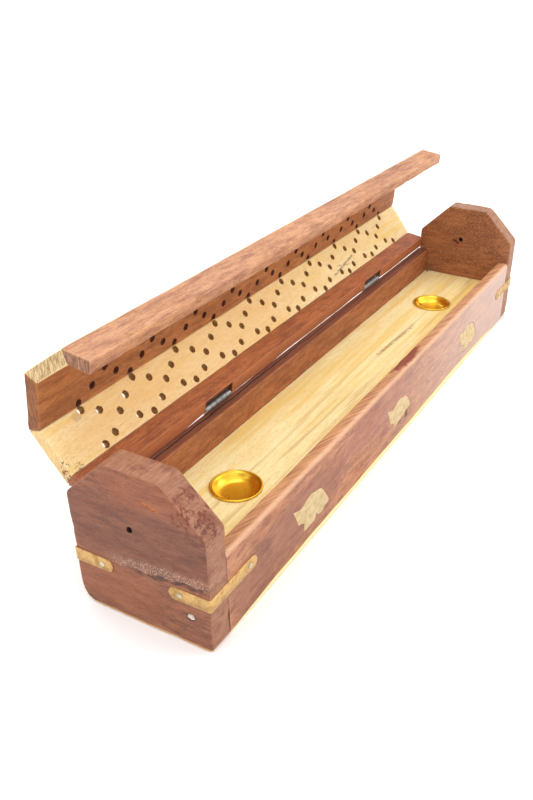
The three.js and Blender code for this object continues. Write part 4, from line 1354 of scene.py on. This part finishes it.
def hinges():
    steel = metal("hinge_steel", "a9a9a6", "6d6b66", 0.5, 0.4, 0.6, 0.006)
    dark = metal("nail_steel", "6b6058", "3a302a", 0.42, 0.6)
    for name in HINGES:
        hinge_leaf(name, "base", steel)
        hinge_leaf(name, "lid", steel)
        start, end = HINGES[name]
        length, radius = end - start, HINGE_PIN_RADIUS
        profile = [(0, 0), (radius * 0.7, 0.03), (radius, 0.2)]
        profile += [(radius, length - 0.2), (radius * 0.7, length - 0.03), (0, length)]
        place = Matrix.Translation((start, HINGE.y, HINGE.z)) @ Matrix.Rotation(math.pi / 2, 4, "Y")
        stand_in(name + "_pin", lathe(profile, 24), dark, 40, place)
        for part in ("base", "lid"):
            for i in (1, 2):
                nail(f"{name}_{part}_nail_{i}", dark, *ROUND_HEAD)
    nail("right_shelf_nail", dark, 0.8, 0.3, 0.4)


def filler_plug():
    """A ragged dab of filler that overfills its nail hole a little."""
    node = "left_filler_plug"
    low, high = box_mm(node)
    depth = high.x - low.x
    radius = PLUG_RADIUS - 0.03
    profile = [(0, 0), (radius, 0.1), (radius, depth - 0.2), (radius * 0.8, depth + 0.05)]
    bm = lathe([*profile, (radius * 0.4, depth + 0.15), (0, depth + 0.1)], 28)
    for vert in bm.verts:
        ragged = 1 + 0.22 * noise.noise(Vector((vert.co.x * 0.9, vert.co.y * 0.9, 2.0)))
        vert.co.x *= ragged
        vert.co.y *= ragged
        vert.co.z += 0.15 * noise.noise(vert.co * 1.6) * (vert.co.z > depth / 2)
    middle = Vector((high.x, (low.y + high.y) / 2, (low.z + high.z) / 2))
    place = Matrix.Translation(middle) @ Matrix.Rotation(-math.pi / 2, 4, "Y")
    stand_in(node, bm, filler("wood_filler"), 60, place)


# ---------------------------------------------------------------- stage, light and camera


FLOOR_LEVEL = -0.0004
FLOOR_HALF_WIDTH = 6


def stage():
    bm = bmesh.new()
    bmesh.ops.create_grid(bm, x_segments=2, y_segments=2, size=FLOOR_HALF_WIDTH)
    floor = object_from("floor", bm, Matrix.Identity(4))
    floor.location.z = FLOOR_LEVEL
    s = Shader("floor_paper")
    grit = s.noise(s.place(), 0.02, 2.0)
    color = s.mix(grit, (0.97, 0.97, 0.97, 1), (0.95, 0.95, 0.95, 1))
    floor.data.materials.append(s.finish(color, 0.9, grit, 0.01))


def area_light(name, place, target, size, power):
    data = bpy.data.lights.new(name, "AREA")
    data.size = size
    data.energy = power
    light = bpy.data.objects.new(name, data)
    light.location = place
    light.rotation_euler = (Vector(target) - Vector(place)).to_track_quat("-Z", "Y").to_euler()
    bpy.context.scene.collection.objects.link(light)


def lighting():
    middle = Vector((0, 0, 0.03))
    area_light("key", (0.7, -0.95, 0.95), middle, 0.8, 4.5)
    area_light("top", (-0.1, 0.2, 1.4), middle, 1.0, 6)
    world = bpy.data.worlds.new("studio")
    world.use_nodes = True
    background = world.node_tree.nodes["Background"]
    background.inputs["Color"].default_value = (1, 1, 1, 1)
    background.inputs["Strength"].default_value = 1.25
    bpy.context.scene.world = world
    bpy.context.scene.view_settings.view_transform = "Standard"


SENSOR_WIDTH = 36.0
LENS_LENGTH = 56.119475
LENS_SHIFT = (-0.0897373358, 0.07913696)
CAMERA_PLACE = Vector((-0.30235, -0.15223, 0.19965))
CAMERA_AZIMUTH = math.radians(-62.114)
CAMERA_ELEVATION = math.radians(32.673)
CAMERA_ROLL = math.radians(0.82)


def camera():
    data = bpy.data.cameras.new("camera")
    data.sensor_fit = "HORIZONTAL"
    data.sensor_width = SENSOR_WIDTH
    data.lens = LENS_LENGTH
    data.shift_x, data.shift_y = LENS_SHIFT
    data.clip_start = 0.01
    flat, rise = math.cos(CAMERA_ELEVATION), math.sin(CAMERA_ELEVATION)
    back = Vector((math.sin(CAMERA_AZIMUTH) * flat, -math.cos(CAMERA_AZIMUTH) * flat, rise))
    right = (-back).cross(Vector((0, 0, 1))).normalized()
    up = right.cross(-back)
    rolled_right = right * math.cos(CAMERA_ROLL) + up * math.sin(CAMERA_ROLL)
    rolled_up = up * math.cos(CAMERA_ROLL) - right * math.sin(CAMERA_ROLL)
    turn = Matrix((rolled_right, rolled_up, back)).transposed().to_4x4()
    thing = bpy.data.objects.new("camera", data)
    thing.matrix_world = Matrix.Translation(CAMERA_PLACE) @ turn
    bpy.context.scene.collection.objects.link(thing)
    bpy.context.scene.camera = thing


end_boards()
front_board()
back_board()
shelf()
storage_panel()
lid()
inlays()
straps()
cup("left_cup")
cup("right_cup")
hinges()
filler_plug()
stage()
lighting()
camera()
